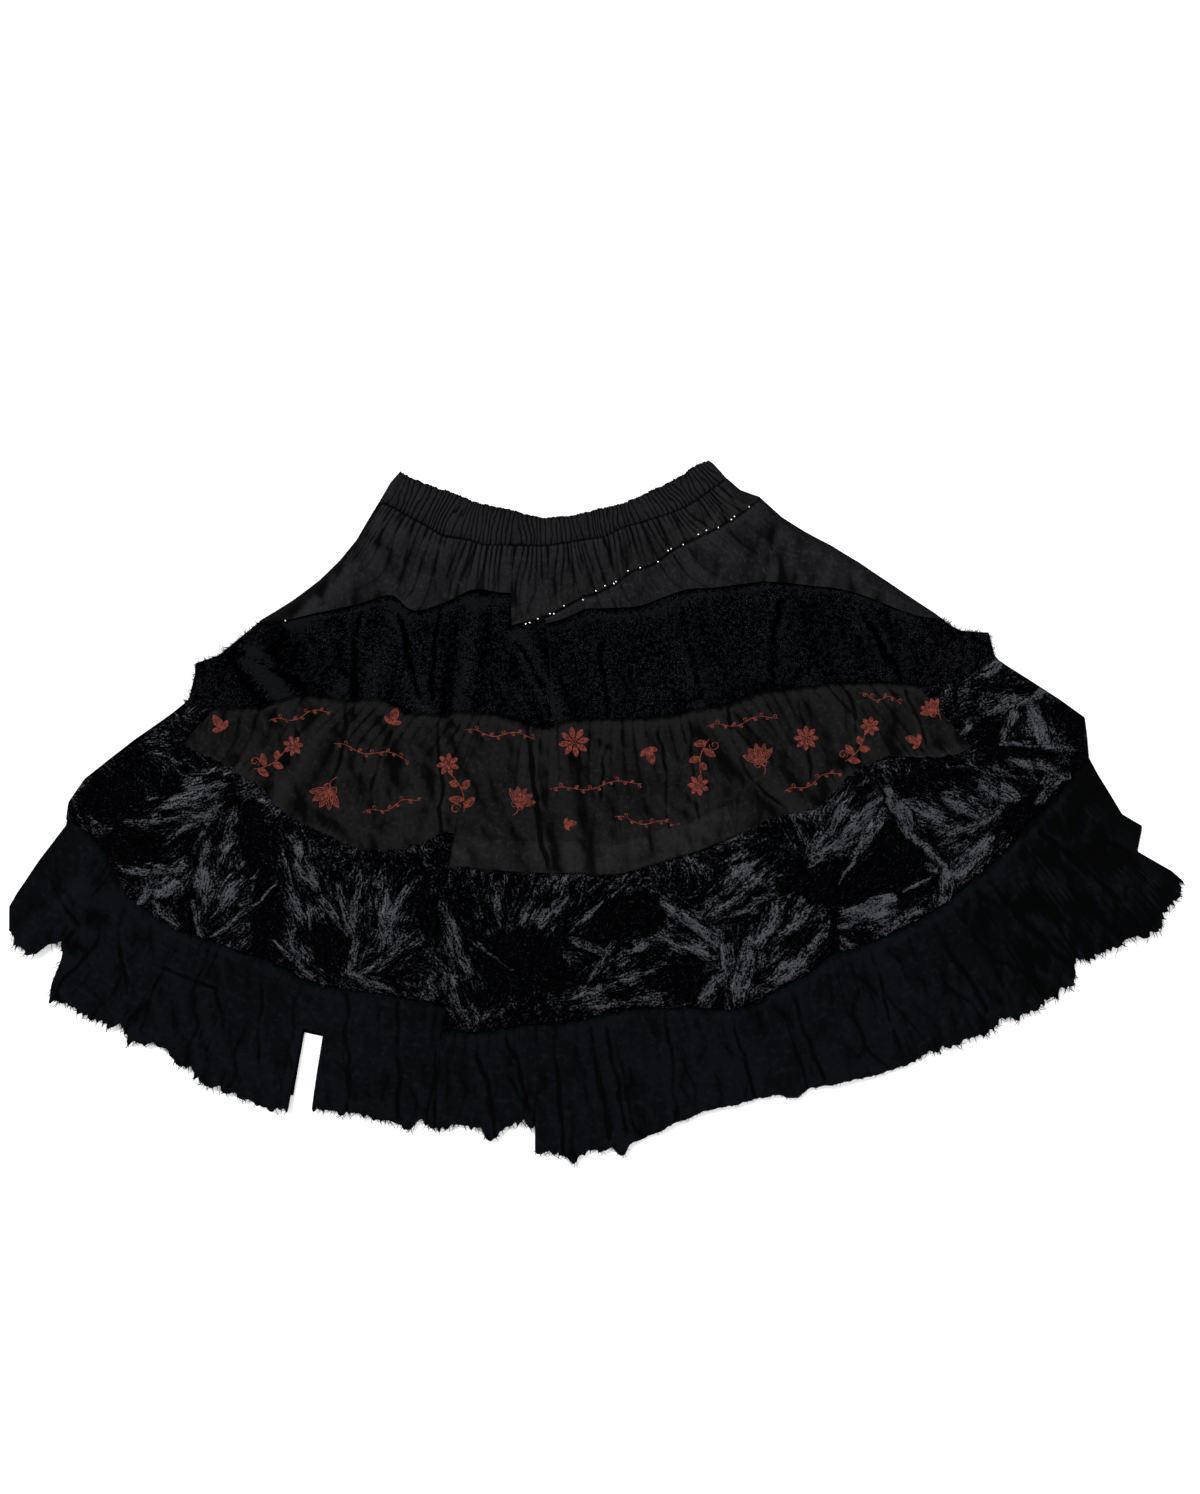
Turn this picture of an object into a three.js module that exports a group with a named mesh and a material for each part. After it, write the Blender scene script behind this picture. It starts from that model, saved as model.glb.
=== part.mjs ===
import * as THREE from "three";

// A long tiered patchwork skirt, laid flat: its back panels rest on the surface
// and its front panels lie on them. Millimetres; X across, Y to the waist, Z up.
// The tiers fan out from one point, so a place is an angle from straight down
// and a radius from that point.

const FLARE_CENTRE = { x: -41.5, y: 577.5 };
const BAND_WALL = 2.4;
const COTTON_WALL = 1.5;
const SATIN_WALL = 1.5;
const FLEECE_WALL = 3;
const TAPE_WALL = 1;
const SEAM_GAP = 0.4;
const LAYER_GAP = 0.4;
const FLEECE_GAP = 0.6;
const END_INSET = 0.002;
const RUFFLE_SLACK = 0.3;
const OVERLAP = 18;
const PRINT_TAPE = 33;
const EDGE_OF_TAPE = 1.2;
const SIDE_INSET = 4;

const COLUMN_COUNT = 60;
const BACK_COLUMN_COUNT = 12;
const BAND_GATHERS = 70;
const BAND_RISE = 1.3;
const BAND_PUFF = 1.1;
const YOKE_GATHER_RISE = 2.6;
const YOKE_GATHER_REACH = { from: 300, to: 430 };
const SIDE_FADE = 0.035;
const END_REACH = 0.06;
const STEP_WIDTH = 0.002;
const WRAP_SETTLE = 0.06;

// The outline at both sides, as angles in degrees.
const SIDES = [
  { radius: 262, left: -36.2, right: 37.3 },
  { radius: 270, left: -36.2, right: 37.9 },
  { radius: 290, left: -36.5, right: 38.2 },
  { radius: 310, left: -36.1, right: 38.9 },
  { radius: 329, left: -35.8, right: 40.9 },
  { radius: 360, left: -35.3, right: 41.5 },
  { radius: 388, left: -35.6, right: 42.7 },
  { radius: 417, left: -36.3, right: 44.1 },
  { radius: 451, left: -37.6, right: 45.2 },
  { radius: 487, left: -39.2, right: 46.0 },
  { radius: 545, left: -40.4, right: 47.1 },
  { radius: 567, left: -41.7, right: 47.3 },
  { radius: 577, left: -40.9, right: 47.6 },
  { radius: 600, left: -39.8, right: 49.3 },
  { radius: 622, left: -40.2, right: 47.9 },
  { radius: 671, left: -41.3, right: 48.6 },
  { radius: 704, left: -41.8, right: 49.0 },
  { radius: 735, left: -42.2, right: 49.2 },
  { radius: 765, left: -41.9, right: 47.1 },
  { radius: 785, left: -40.9, right: 46.6 },
  { radius: 833, left: -40.7, right: 45.7 },
  { radius: 857, left: -40.5, right: 46.1 },
  { radius: 872, left: -40.4, right: 44.6 },
  { radius: 889, left: -40.2, right: 44.9 },
  { radius: 912, left: -39.0, right: 45.3 },
  { radius: 940, left: -38.6, right: 45.4 },
];

// The even fan that the inner folds keep to.
const FAN = {
  left: { waist: -36, hem: -40.5, from: 380, to: 560 },
  right: { waist: 37.5, hem: 47, from: 270, to: 500 },
};

// The radius of each tier's lower edge, a row for every four degrees.
const EDGES = [
  { angle: -42, waist: 276, band: 318, wrap: 500, yoke: 500, fleece: 614, print: 640, satin: 781, hem: 912 },
  { angle: -38, waist: 276, band: 317, wrap: 482, yoke: 482, fleece: 594, print: 642, satin: 777, hem: 912 },
  { angle: -34, waist: 274, band: 311, wrap: 448, yoke: 448, fleece: 565, print: 635, satin: 802, hem: 933 },
  { angle: -30, waist: 271, band: 310, wrap: 418, yoke: 418, fleece: 525, print: 633, satin: 806, hem: 930 },
  { angle: -26, waist: 268, band: 310, wrap: 392, yoke: 392, fleece: 513, print: 646, satin: 798, hem: 927 },
  { angle: -22, waist: 266, band: 312, wrap: 397, yoke: 397, fleece: 496, print: 648, satin: 795, hem: 938 },
  { angle: -18, waist: 267, band: 308, wrap: 379, yoke: 379, fleece: 498, print: 650, satin: 800, hem: 934 },
  { angle: -14, waist: 266, band: 308, wrap: 357, yoke: 357, fleece: 490, print: 635, satin: 792, hem: 921 },
  { angle: -10, waist: 266, band: 304, wrap: 354, yoke: 354, fleece: 480, print: 610, satin: 790, hem: 924 },
  { angle: -6, waist: 269, band: 301, wrap: 353, yoke: 354, fleece: 481, print: 619, satin: 793, hem: 914 },
  { angle: -2, waist: 270, band: 300, wrap: 355, yoke: 363, fleece: 489, print: 631, satin: 790, hem: 909 },
  { angle: 2, waist: 269, band: 297, wrap: 354, yoke: 367, fleece: 482, print: 643, satin: 794, hem: 922 },
  { angle: 6, waist: 267, band: 295, wrap: 353, yoke: 368, fleece: 482, print: 648, satin: 789, hem: 921 },
  { angle: 10, waist: 265, band: 295, wrap: 346, yoke: 371, fleece: 487, print: 641, satin: 797, hem: 908 },
  { angle: 14, waist: 265, band: 290, wrap: 336, yoke: 374, fleece: 491, print: 638, satin: 807, hem: 906 },
  { angle: 18, waist: 264, band: 290, wrap: 335, yoke: 372, fleece: 494, print: 632, satin: 797, hem: 912 },
  { angle: 22, waist: 262, band: 291, wrap: 328, yoke: 373, fleece: 499, print: 629, satin: 786, hem: 920 },
  { angle: 26, waist: 262, band: 293, wrap: 327, yoke: 383, fleece: 503, print: 636, satin: 789, hem: 924 },
  { angle: 30, waist: 262, band: 293, wrap: 328, yoke: 393, fleece: 517, print: 622, satin: 790, hem: 930 },
  { angle: 34, waist: 261, band: 292, wrap: 329, yoke: 408, fleece: 534, print: 629, satin: 783, hem: 935 },
  { angle: 38, waist: 265, band: 292, wrap: 330, yoke: 434, fleece: 562, print: 662, satin: 776, hem: 924 },
  { angle: 42, waist: 265, band: 292, wrap: 329, yoke: 470, fleece: 597, print: 677, satin: 770, hem: 941 },
  { angle: 46, waist: 265, band: 292, wrap: 329, yoke: 540, fleece: 617, print: 680, satin: 766, hem: 926 },
  { angle: 50, waist: 265, band: 292, wrap: 329, yoke: 575, fleece: 622, print: 680, satin: 766, hem: 926 },
];

// Where a lower edge drops at once: the overlapping panels begin there.
const STEPS = {
  wrap: { angle: -7.2, radius: 368, drop: 33, fade: 12 },
  yoke: { angle: -7.2, radius: 368, drop: 33, fade: 12 },
  print: { angle: -10, radius: 630, drop: 38, fade: 12 },
  satin: { angle: -8.3, radius: 803, drop: 26, fade: 12 },
  hem: { angle: -1.3, radius: 925, drop: 26, fade: 9 },
};

// Swings of the hem ruffle's edge, out or in.
const HEM_SWINGS = [
  { angle: -35.8, reach: 1.5, out: -40 },
  { angle: -34.2, reach: 0.8, out: 8 },
  { angle: -29.6, reach: 0.6, out: -7 },
  { angle: -28.5, reach: 0.5, out: 9 },
  { angle: -23.0, reach: 1.2, out: 4 },
  { angle: -8.8, reach: 0.9, out: -6 },
  { angle: -4.1, reach: 1.3, out: 15 },
  { angle: 1.0, reach: 1.3, out: 6 },
  { angle: 4.3, reach: 0.7, out: 10 },
  { angle: 16.0, reach: 1.3, out: 7 },
  { angle: 30.6, reach: 0.7, out: -6 },
  { angle: 36.7, reach: 0.9, out: -12 },
  { angle: 41.9, reach: 1.2, out: 7 },
];

// The printed panel stops short of both sides, and the satin shows beside it.
const PRINT_ENDS = { left: { angle: -37.4, radius: 625 }, right: { angle: 40.7, radius: 635 } };
// The lower yoke shows from here to the right side.
const UNDER_YOKE_START = { angle: -1.6, radius: 378 };
// The turned hem of the printed panel runs from its step to here.
const PRINT_TAPE_END = { angle: 17.5, radius: 635 };
// The slit in the hem ruffle, open through front and back.
const SLIT = { left: -18.2, right: -16.7, radius: 850, top: 848, lean: 0.75, reach: 5, length: 85 };

// The largest folds of the front: soft ridges from one place to another.
const FOLDS = [
  { name: "yoke left ridge", angle: -29, radius: 335, toAngle: -35, toRadius: 470, width: 44, rise: 3.5 },
  { name: "yoke right ridge", angle: 27, radius: 320, toAngle: 34, toRadius: 395, width: 44, rise: 3 },
  { name: "fleece end roll", angle: -39, radius: 520, toAngle: -31, toRadius: 545, width: 46, rise: 5 },
  { name: "fleece left swell", angle: -24, radius: 405, toAngle: -23, toRadius: 500, width: 52, rise: 4 },
  { name: "fleece middle ridge", angle: -13, radius: 375, toAngle: -12, toRadius: 480, width: 40, rise: 5 },
  { name: "fleece slanting ridge", angle: -5, radius: 400, toAngle: 1, toRadius: 490, width: 44, rise: 5 },
  { name: "fleece right swell", angle: 17, radius: 385, toAngle: 19, toRadius: 485, width: 70, rise: 4 },
  { name: "print fold one", angle: -26, radius: 505, toAngle: -27, toRadius: 650, width: 46, rise: 5 },
  { name: "print fold two", angle: -16, radius: 495, toAngle: -15, toRadius: 640, width: 50, rise: 4 },
  { name: "print fold three", angle: 0, radius: 500, toAngle: 2, toRadius: 660, width: 44, rise: 4.5 },
  { name: "print fold four", angle: 18, radius: 495, toAngle: 24, toRadius: 640, width: 46, rise: 6 },
  { name: "print fold five", angle: 31, radius: 525, toAngle: 33, toRadius: 620, width: 56, rise: 4 },
  { name: "satin left fan", angle: -31, radius: 640, toAngle: -37, toRadius: 760, width: 60, rise: 8 },
  { name: "satin left drape", angle: -22, radius: 660, toAngle: -25, toRadius: 790, width: 56, rise: 8 },
  { name: "satin crossing fold", angle: -17, radius: 700, toAngle: -8, toRadius: 760, width: 50, rise: 7 },
  { name: "satin bright tube", angle: -8.5, radius: 690, toAngle: -7, toRadius: 800, width: 42, rise: 9 },
  { name: "satin middle drape", angle: 1, radius: 665, toAngle: 6, toRadius: 770, width: 64, rise: 7 },
  { name: "satin bright tuck", angle: 12, radius: 690, toAngle: 13, toRadius: 810, width: 52, rise: 10 },
  { name: "satin pocket ridge", angle: 29, radius: 630, toAngle: 25, toRadius: 745, width: 52, rise: 10 },
  { name: "satin pocket side", angle: 31, radius: 640, toAngle: 35, toRadius: 745, width: 48, rise: 10 },
  { name: "satin upper sweep", angle: 34, radius: 650, toAngle: 46, toRadius: 730, width: 54, rise: 7 },
  { name: "satin side fold", angle: 43, radius: 620, toAngle: 48, toRadius: 690, width: 44, rise: 6 },
  { name: "ruffle left pillow", angle: -37, radius: 835, toAngle: -38, toRadius: 910, width: 60, rise: 7 },
  { name: "ruffle right sweep", angle: 36, radius: 800, toAngle: 43, toRadius: 900, width: 64, rise: 7 },
];

// The creases of the hem ruffle; the cloth swells by rise up to the next one.
const CREASES = [
  { top: -41, hem: -40, rise: 0 },
  { top: -38.5, hem: -36.3, rise: 5 },
  { top: -35, hem: -33.5, rise: 4 },
  { top: -32, hem: -31, rise: 3 },
  { top: -29.5, hem: -28.7, rise: 5 },
  { top: -26, hem: -25, rise: 4 },
  { top: -23, hem: -21.5, rise: 3 },
  { top: -19.5, hem: -17.4, rise: 4 },
  { top: -15.8, hem: -13.8, rise: 3 },
  { top: -11.8, hem: -10.6, rise: 3 },
  { top: -9.2, hem: -8.4, rise: 2.5 },
  { top: -6.2, hem: -3.8, rise: 4 },
  { top: -3.8, hem: -1.6, rise: 3 },
  { top: -0.4, hem: 0.6, rise: 4 },
  { top: 2.6, hem: 3.6, rise: 4 },
  { top: 4.8, hem: 5.8, rise: 3 },
  { top: 8.2, hem: 9.4, rise: 5 },
  { top: 12, hem: 13, rise: 4 },
  { top: 16, hem: 17.4, rise: 5 },
  { top: 20.5, hem: 21.5, rise: 4 },
  { top: 24.5, hem: 25.3, rise: 5 },
  { top: 28.5, hem: 29.6, rise: 4 },
  { top: 32, hem: 33, rise: 5 },
  { top: 36, hem: 36.7, rise: 6 },
  { top: 39.5, hem: 39.8, rise: 5 },
  { top: 42.5, hem: 43.8, rise: 5 },
  { top: 47, hem: 46, rise: 0 },
];

// The back's seams are plain arcs.
const BACK_SEAMS = { yoke: 400, fleece: 520, print: 645, satin: 795 };
// Its hem stays inside the front's, more so under the notch at the left.
const BACK_HEM = { lift: 14, radius: 915, left: 885, leftReach: 0.09 };

const COLOURS = {
  cotton: 0x222223,
  fleece: 0x0c0d11,
  print: 0x24211f,
  tape: 0x2a2928,
  satin: 0x17171c,
  ruffle: 0x0f1419,
};

const OVER_COTTON = COTTON_WALL + LAYER_GAP;
const OVER_FLEECE = FLEECE_WALL + FLEECE_GAP;
const SLACK_WRAP = OVER_COTTON + LAYER_GAP;
const OVER_RUFFLE = OVER_COTTON + RUFFLE_SLACK;
const FRONT_BASE = COTTON_WALL + LAYER_GAP;
const RUFFLE_TUCK = 0.85;

// Where a panel's inner rows run, as shares of its way from its top line to its bottom one.
const ROWS = {
  wrap: { upper: 0.35, lower: 0.7 },
  lowerYoke: { upper: 0.35, lower: 0.7 },
  fleece: { upper: 0.38, lower: 0.78 },
  print: { upper: 0.35, lower: 0.7 },
  satin: { upper: 0.3, middle: 0.6, lower: 0.88 },
  ruffle: { slit: 0.38, upper: 0.58, lower: 0.79, hem: 1 },
  back: { top: 0, upper: 0.25, middle: 0.5, lower: 0.75, hem: 1 },
  backRuffle: { top: 0, slit: 0.38, lower: 0.7, hem: 1 },
};
// How far a panel has risen at those rows, as shares of the step that its hem takes.
const RISEN = {
  lowerYokeUpper: 0.3,
  lowerYokeLower: 0.65,
  fleece: 0.6,
  printLower: 0.2,
  printTape: 0.6,
  satin: 0.7,
};

const mix = (a, b, t) => a + (b - a) * t;
const clamp = (t) => Math.min(1, Math.max(0, t));
const smooth = (t) => clamp(t) ** 2 * (3 - 2 * clamp(t));
const radians = THREE.MathUtils.degToRad;
const degrees = THREE.MathUtils.radToDeg;

// The straight line between a table's rows.
function straight(table, by, value, column) {
  const last = table.length - 1;
  let i = table.findIndex((row) => row[by] > value) - 1;
  if (value <= table[0][by]) i = 0;
  if (value >= table[last][by]) i = last - 1;
  const t = (value - table[i][by]) / (table[i + 1][by] - table[i][by]);
  return mix(table[i][column], table[i + 1][column], clamp(t));
}

// A smooth curve through a table's evenly spaced rows.
function curved(table, by, value, column) {
  const last = table.length - 1;
  const spacing = table[1][by] - table[0][by];
  const place = Math.min(last - 1e-6, Math.max(0, (value - table[0][by]) / spacing));
  const i = Math.floor(place);
  const t = place - i;
  const at = (k) => table[Math.min(last, Math.max(0, k))][column];
  const [a, b, c, d] = [at(i - 1), at(i), at(i + 1), at(i + 2)];
  const bend = (2 * a - 5 * b + 4 * c - d) * t + (3 * b - a - 3 * c + d) * t * t;
  return b + (t * (c - a + bend)) / 2;
}

// The angle of column u (0 left side to 1 right side) at a radius.
function angleAt(u, radius) {
  const side = (name) => {
    const fan = FAN[name];
    const even = mix(fan.waist, fan.hem, smooth((radius - fan.from) / (fan.to - fan.from)));
    return { even, stray: straight(SIDES, "radius", radius, name) - even };
  };
  const left = side("left");
  const right = side("right");
  const near = (distance) => (1 - clamp(distance / END_REACH)) ** 2;
  return mix(left.even, right.even, u) + left.stray * near(u) + right.stray * near(1 - u);
}

// The column that passes through a place.
function columnAt({ angle, radius }) {
  let low = 0;
  let high = 1;
  for (let halving = 0; halving < 40; halving++) {
    const middle = (low + high) / 2;
    if (angleAt(middle, radius) < angle) low = middle;
    else high = middle;
  }
  return low;
}

const STEP_COLUMNS = Object.fromEntries(
  Object.entries(STEPS).map(([edge, step]) => [edge, columnAt(step)]),
);
const UNDER_START = columnAt(UNDER_YOKE_START);
const PRINT_LEFT = columnAt(PRINT_ENDS.left);
const PRINT_RIGHT = columnAt(PRINT_ENDS.right);
const TAPE_END = columnAt(PRINT_TAPE_END);
const SLIT_LEFT = columnAt({ angle: SLIT.left, radius: SLIT.radius });
const SLIT_RIGHT = columnAt({ angle: SLIT.right, radius: SLIT.radius });

function hemSwing(angle) {
  return HEM_SWINGS.reduce((sum, swing) => {
    const t = clamp(Math.abs(angle - swing.angle) / swing.reach);
    return sum + swing.out * (0.5 + 0.5 * Math.cos(Math.PI * t));
  }, 0);
}

// The radius of an edge in column u, with its step and swings.
function edgeRadius(edge, u) {
  let radius = EDGES[EDGES.length >> 1][edge];
  for (let pass = 0; pass < 30; pass++) {
    radius = mix(radius, curved(EDGES, "angle", angleAt(u, radius), edge), 0.7);
  }
  const step = STEPS[edge];
  if (step && u > STEP_COLUMNS[edge]) {
    const past = angleAt(u, radius) - step.angle;
    radius += step.drop * clamp(1 - past / step.fade);
  }
  return edge === "hem" ? radius + hemSwing(angleAt(u, radius)) : radius;
}

const onPlane = (angle, radius) => ({
  x: FLARE_CENTRE.x + radius * Math.sin(radians(angle)),
  y: FLARE_CENTRE.y - radius * Math.cos(radians(angle)),
});

// Columns shared by all front panels: an even fan, and a close pair at each step.
const PAIRS = [...Object.values(STEP_COLUMNS), UNDER_START, PRINT_LEFT, PRINT_RIGHT];
const ENDS = {
  underYoke: UNDER_START + END_INSET,
  printLeft: PRINT_LEFT + END_INSET,
  printRight: PRINT_RIGHT - END_INSET,
};
const SINGLES = [SLIT_LEFT, SLIT_RIGHT, TAPE_END, ...Object.values(ENDS)];
function frontColumns() {
  const fixed = PAIRS.flatMap((u) => [u - STEP_WIDTH / 2, u + STEP_WIDTH / 2]).concat(SINGLES);
  const apart = 0.3 / COLUMN_COUNT;
  const even = Array.from({ length: COLUMN_COUNT + 1 }, (_, k) => k / COLUMN_COUNT);
  const free = even.filter((u) => fixed.every((f) => Math.abs(u - f) > apart));
  const sorted = [...free, ...fixed].sort((a, b) => a - b);
  return sorted.filter((u, i) => i === 0 || u - sorted[i - 1] > STEP_WIDTH / 4);
}
const COLUMNS = frontColumns();

// The height of the yoke's gathers: every second column of the even fan stands up.
function gatherHeight(u, radius) {
  const place = u * COLUMN_COUNT;
  const k = Math.floor(place);
  const crest = (n) => (n % 2 ? YOKE_GATHER_RISE * (0.7 + 0.3 * Math.sin(n * 2.3)) : 0);
  const reach = YOKE_GATHER_REACH;
  const fade = 1 - smooth((radius - reach.from) / (reach.to - reach.from));
  return mix(crest(k), crest(k + 1), place - k) * fade;
}

// The height of one soft ridge at a point: highest on its line, faded at its ends.
function foldHeight(fold, point) {
  const start = onPlane(fold.angle, fold.radius);
  const end = onPlane(fold.toAngle, fold.toRadius);
  const along = { x: end.x - start.x, y: end.y - start.y };
  const length = Math.hypot(along.x, along.y);
  const dx = point.x - start.x;
  const dy = point.y - start.y;
  const t = (dx * along.x + dy * along.y) / length;
  const off = Math.abs(dx * along.y - dy * along.x) / length;
  const half = fold.width / 2;
  const across = off < half ? 0.5 + 0.5 * Math.cos((Math.PI * off) / half) : 0;
  return fold.rise * across * smooth((t + half) / half) * smooth((length + half - t) / half);
}

function relief(u, radius) {
  const point = onPlane(angleAt(u, radius), radius);
  const folds = FOLDS.reduce((sum, fold) => Math.max(sum, foldHeight(fold, point)), 0);
  const sides = smooth(u / SIDE_FADE) * smooth((1 - u) / SIDE_FADE);
  return (folds + gatherHeight(u, radius)) * sides;
}

// The swell of the hem ruffle between two creases, none at its seam.
function ruffleHeight(angle, down) {
  const creaseAngle = (row) => mix(row.top, row.hem, down);
  const i = CREASES.findIndex((row) => creaseAngle(row) > angle) - 1;
  if (i < 0) return 0;
  const start = creaseAngle(CREASES[i]);
  const t = (angle - start) / (creaseAngle(CREASES[i + 1]) - start);
  return CREASES[i].rise * Math.sin(Math.PI * t) * smooth(down * 1.6);
}

// A closed wall over a grid of points: its underside, its upper side and its rims.
function wallMesh(name, colour, grid, wall, open = () => false) {
  const rows = grid[0].length;
  const layer = grid.length * rows;
  const positions = [];
  for (const lift of [0, wall]) {
    for (const column of grid) {
      for (const p of column) positions.push(p.x, p.y, p.z + lift);
    }
  }
  const filled = (i, j) => i >= 0 && j >= 0 && i < grid.length - 1 && j < rows - 1 && !open(i, j);
  const faces = [];
  const quad = (a, b, c, d) => faces.push(a, b, c, a, c, d);
  const rim = (a, b) => quad(a, b, b + layer, a + layer);
  for (let i = 0; i < grid.length - 1; i++) {
    for (let j = 0; j < rows - 1; j++) {
      if (!filled(i, j)) continue;
      const a = i * rows + j;
      const b = a + rows;
      const [c, d] = [b + 1, a + 1];
      faces.push(a, b, c, a, c, d);
      faces.push(a + layer, c + layer, b + layer, a + layer, d + layer, c + layer);
      if (!filled(i, j - 1)) rim(b, a);
      if (!filled(i + 1, j)) rim(c, b);
      if (!filled(i, j + 1)) rim(d, c);
      if (!filled(i - 1, j)) rim(a, d);
    }
  }
  const geometry = new THREE.BufferGeometry();
  geometry.setAttribute("position", new THREE.Float32BufferAttribute(positions, 3));
  geometry.setIndex(faces);
  geometry.computeVertexNormals();
  const material = new THREE.MeshStandardMaterial({ color: colour, roughness: 0.9 });
  const mesh = new THREE.Mesh(geometry, material);
  mesh.name = name;
  return mesh;
}

// A front panel: its rows are places and levels that depend on the column.
function frontPanel(name, colour, wall, rows, { from = 0, to = 1, extra = () => 0 } = {}) {
  const columns = COLUMNS.filter((u) => u > from - 1e-9 && u < to + 1e-9);
  const grid = columns.map((u) =>
    rows.map((row) => {
      const { radius, level } = row(u);
      const plane = onPlane(angleAt(u, radius), radius);
      return { ...plane, z: FRONT_BASE + level + relief(u, radius) + extra(u, radius) };
    }),
  );
  return wallMesh(name, colour, grid, wall);
}

const between = (top, bottom, share) => (u) => mix(top(u), bottom(u), share);
const row = (line, level) => (u) => ({
  radius: line(u),
  level: typeof level === "function" ? level(u) : level,
});

const line = Object.fromEntries(
  Object.keys(EDGES[0])
    .filter((edge) => edge !== "angle")
    .map((edge) => {
      const known = new Map();
      const radiusOf = (u) => {
        if (!known.has(u)) known.set(u, edgeRadius(edge, u));
        return known.get(u);
      };
      return [edge, radiusOf];
    }),
);
const above = (edge, distance) => (u) => edge(u) - distance;
const underYoke = (u) => u > UNDER_START;
const printed = (u) => u > PRINT_LEFT && u < PRINT_RIGHT;
const yokeOverlap = (u) => Math.min(OVERLAP, 0.5 * (line.yoke(u) - line.wrap(u)));

// The edges that cover the tops of the fleece and of the satin.
const yokeTuck = (u) => (underYoke(u) ? line.yoke(u) - yokeOverlap(u) : line.wrap(u) - OVERLAP);
const yokeCover = (u) => (underYoke(u) ? line.yoke(u) : line.wrap(u));
const satinTuck = (u) => (printed(u) ? line.print(u) : line.fleece(u)) - OVERLAP;
const satinCover = (u) => (printed(u) ? line.print(u) : line.fleece(u));
const yokeTop = (u) => line.band(u) + SEAM_GAP / 2;
const wrapTuck = above(line.wrap, OVERLAP);
const fleeceTuck = above(line.fleece, OVERLAP);
const printTuck = above(line.print, OVERLAP);
const tapeTop = above(line.print, PRINT_TAPE);
const satinHemTuck = above(line.satin, OVERLAP);

// The wrap's hem clears the fleece on the left and the lower yoke on the right.
function wrapLevel(u) {
  const past = clamp((u - UNDER_START) / WRAP_SETTLE);
  return underYoke(u) ? mix(OVER_FLEECE, OVER_COTTON, past) : OVER_FLEECE;
}

// The slit leans to the right on its way down, and the cloth beside it too.
function leaning(angle, radius) {
  const middle = (SLIT.left + SLIT.right) / 2;
  const near = 1 - clamp((Math.abs(angle - middle) - 1) / SLIT.reach);
  return angle + SLIT.lean * near * clamp((radius - SLIT.top) / SLIT.length);
}

function waistbandFront() {
  const columns = 2 * BAND_GATHERS;
  const top = line.waist;
  const bottom = (u) => line.band(u) - SEAM_GAP / 2;
  const grid = Array.from({ length: columns + 1 }, (_, k) => {
    const u = k / columns;
    const side = k === 0 || k === columns ? 0 : 1;
    const gather = (k % 2 ? BAND_RISE * (0.75 + 0.25 * Math.sin(k * 1.7)) : 0) * side;
    return [0, 0.5, 1].map((share) => {
      const radius = mix(top(u), bottom(u), share);
      const puff = share === 0.5 ? BAND_PUFF * side : 0;
      return { ...onPlane(angleAt(u, radius), radius), z: FRONT_BASE + gather + puff };
    });
  });
  return wallMesh("waistband_front", COLOURS.cotton, grid, BAND_WALL);
}

function yokeFront() {
  const middle = between(yokeTop, wrapTuck, ROWS.wrap.upper);
  const lower = between(yokeTop, wrapTuck, ROWS.wrap.lower);
  return frontPanel("yoke_wrap_front", COLOURS.cotton, COTTON_WALL, [
    row(yokeTop, OVER_COTTON),
    row(middle, SLACK_WRAP),
    row(lower, SLACK_WRAP),
    row(wrapTuck, wrapLevel),
    row(line.wrap, wrapLevel),
  ]);
}

function yokeTape() {
  const lift = COTTON_WALL + LAYER_GAP;
  const level = (u) => wrapLevel(u) + lift;
  return frontPanel(
    "yoke_wrap_tape",
    COLOURS.tape,
    TAPE_WALL,
    [row(wrapTuck, level), row(above(line.wrap, EDGE_OF_TAPE), level)],
    { from: STEP_COLUMNS.wrap },
  );
}

function lowerYokeFront() {
  const tuck = (u) => line.yoke(u) - yokeOverlap(u);
  return frontPanel(
    "yoke_lower_front",
    COLOURS.cotton,
    COTTON_WALL,
    [
      row(yokeTop, 0),
      row(wrapTuck, 0),
      row(line.wrap, 0),
      row(between(line.wrap, tuck, ROWS.lowerYoke.upper), RISEN.lowerYokeUpper * OVER_FLEECE),
      row(between(line.wrap, tuck, ROWS.lowerYoke.lower), RISEN.lowerYokeLower * OVER_FLEECE),
      row(tuck, OVER_FLEECE),
      row(line.yoke, OVER_FLEECE),
    ],
    { from: ENDS.underYoke },
  );
}

function fleeceFront() {
  return frontPanel("fleece_front", COLOURS.fleece, FLEECE_WALL, [
    row(yokeTuck, 0),
    row(yokeCover, 0),
    row(between(yokeCover, fleeceTuck, ROWS.fleece.upper), 0),
    row(between(yokeCover, fleeceTuck, ROWS.fleece.lower), RISEN.fleece * OVER_COTTON),
    row(fleeceTuck, OVER_COTTON),
    row(line.fleece, OVER_COTTON),
  ]);
}

function printFront() {
  return frontPanel(
    "print_front",
    COLOURS.print,
    COTTON_WALL,
    [
      row(fleeceTuck, 0),
      row(line.fleece, 0),
      row(between(line.fleece, tapeTop, ROWS.print.upper), 0),
      row(between(line.fleece, tapeTop, ROWS.print.lower), RISEN.printLower * OVER_COTTON),
      row(tapeTop, RISEN.printTape * OVER_COTTON),
      row(printTuck, OVER_COTTON),
      row(line.print, OVER_COTTON),
    ],
    { from: ENDS.printLeft, to: ENDS.printRight },
  );
}

function printTape() {
  const lift = COTTON_WALL + LAYER_GAP;
  return frontPanel(
    "print_tape_front",
    COLOURS.tape,
    TAPE_WALL,
    [
      row(tapeTop, RISEN.printTape * OVER_COTTON + lift),
      row(printTuck, OVER_COTTON + lift),
      row(above(line.print, EDGE_OF_TAPE), OVER_COTTON + lift),
    ],
    { from: STEP_COLUMNS.print, to: TAPE_END },
  );
}

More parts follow.
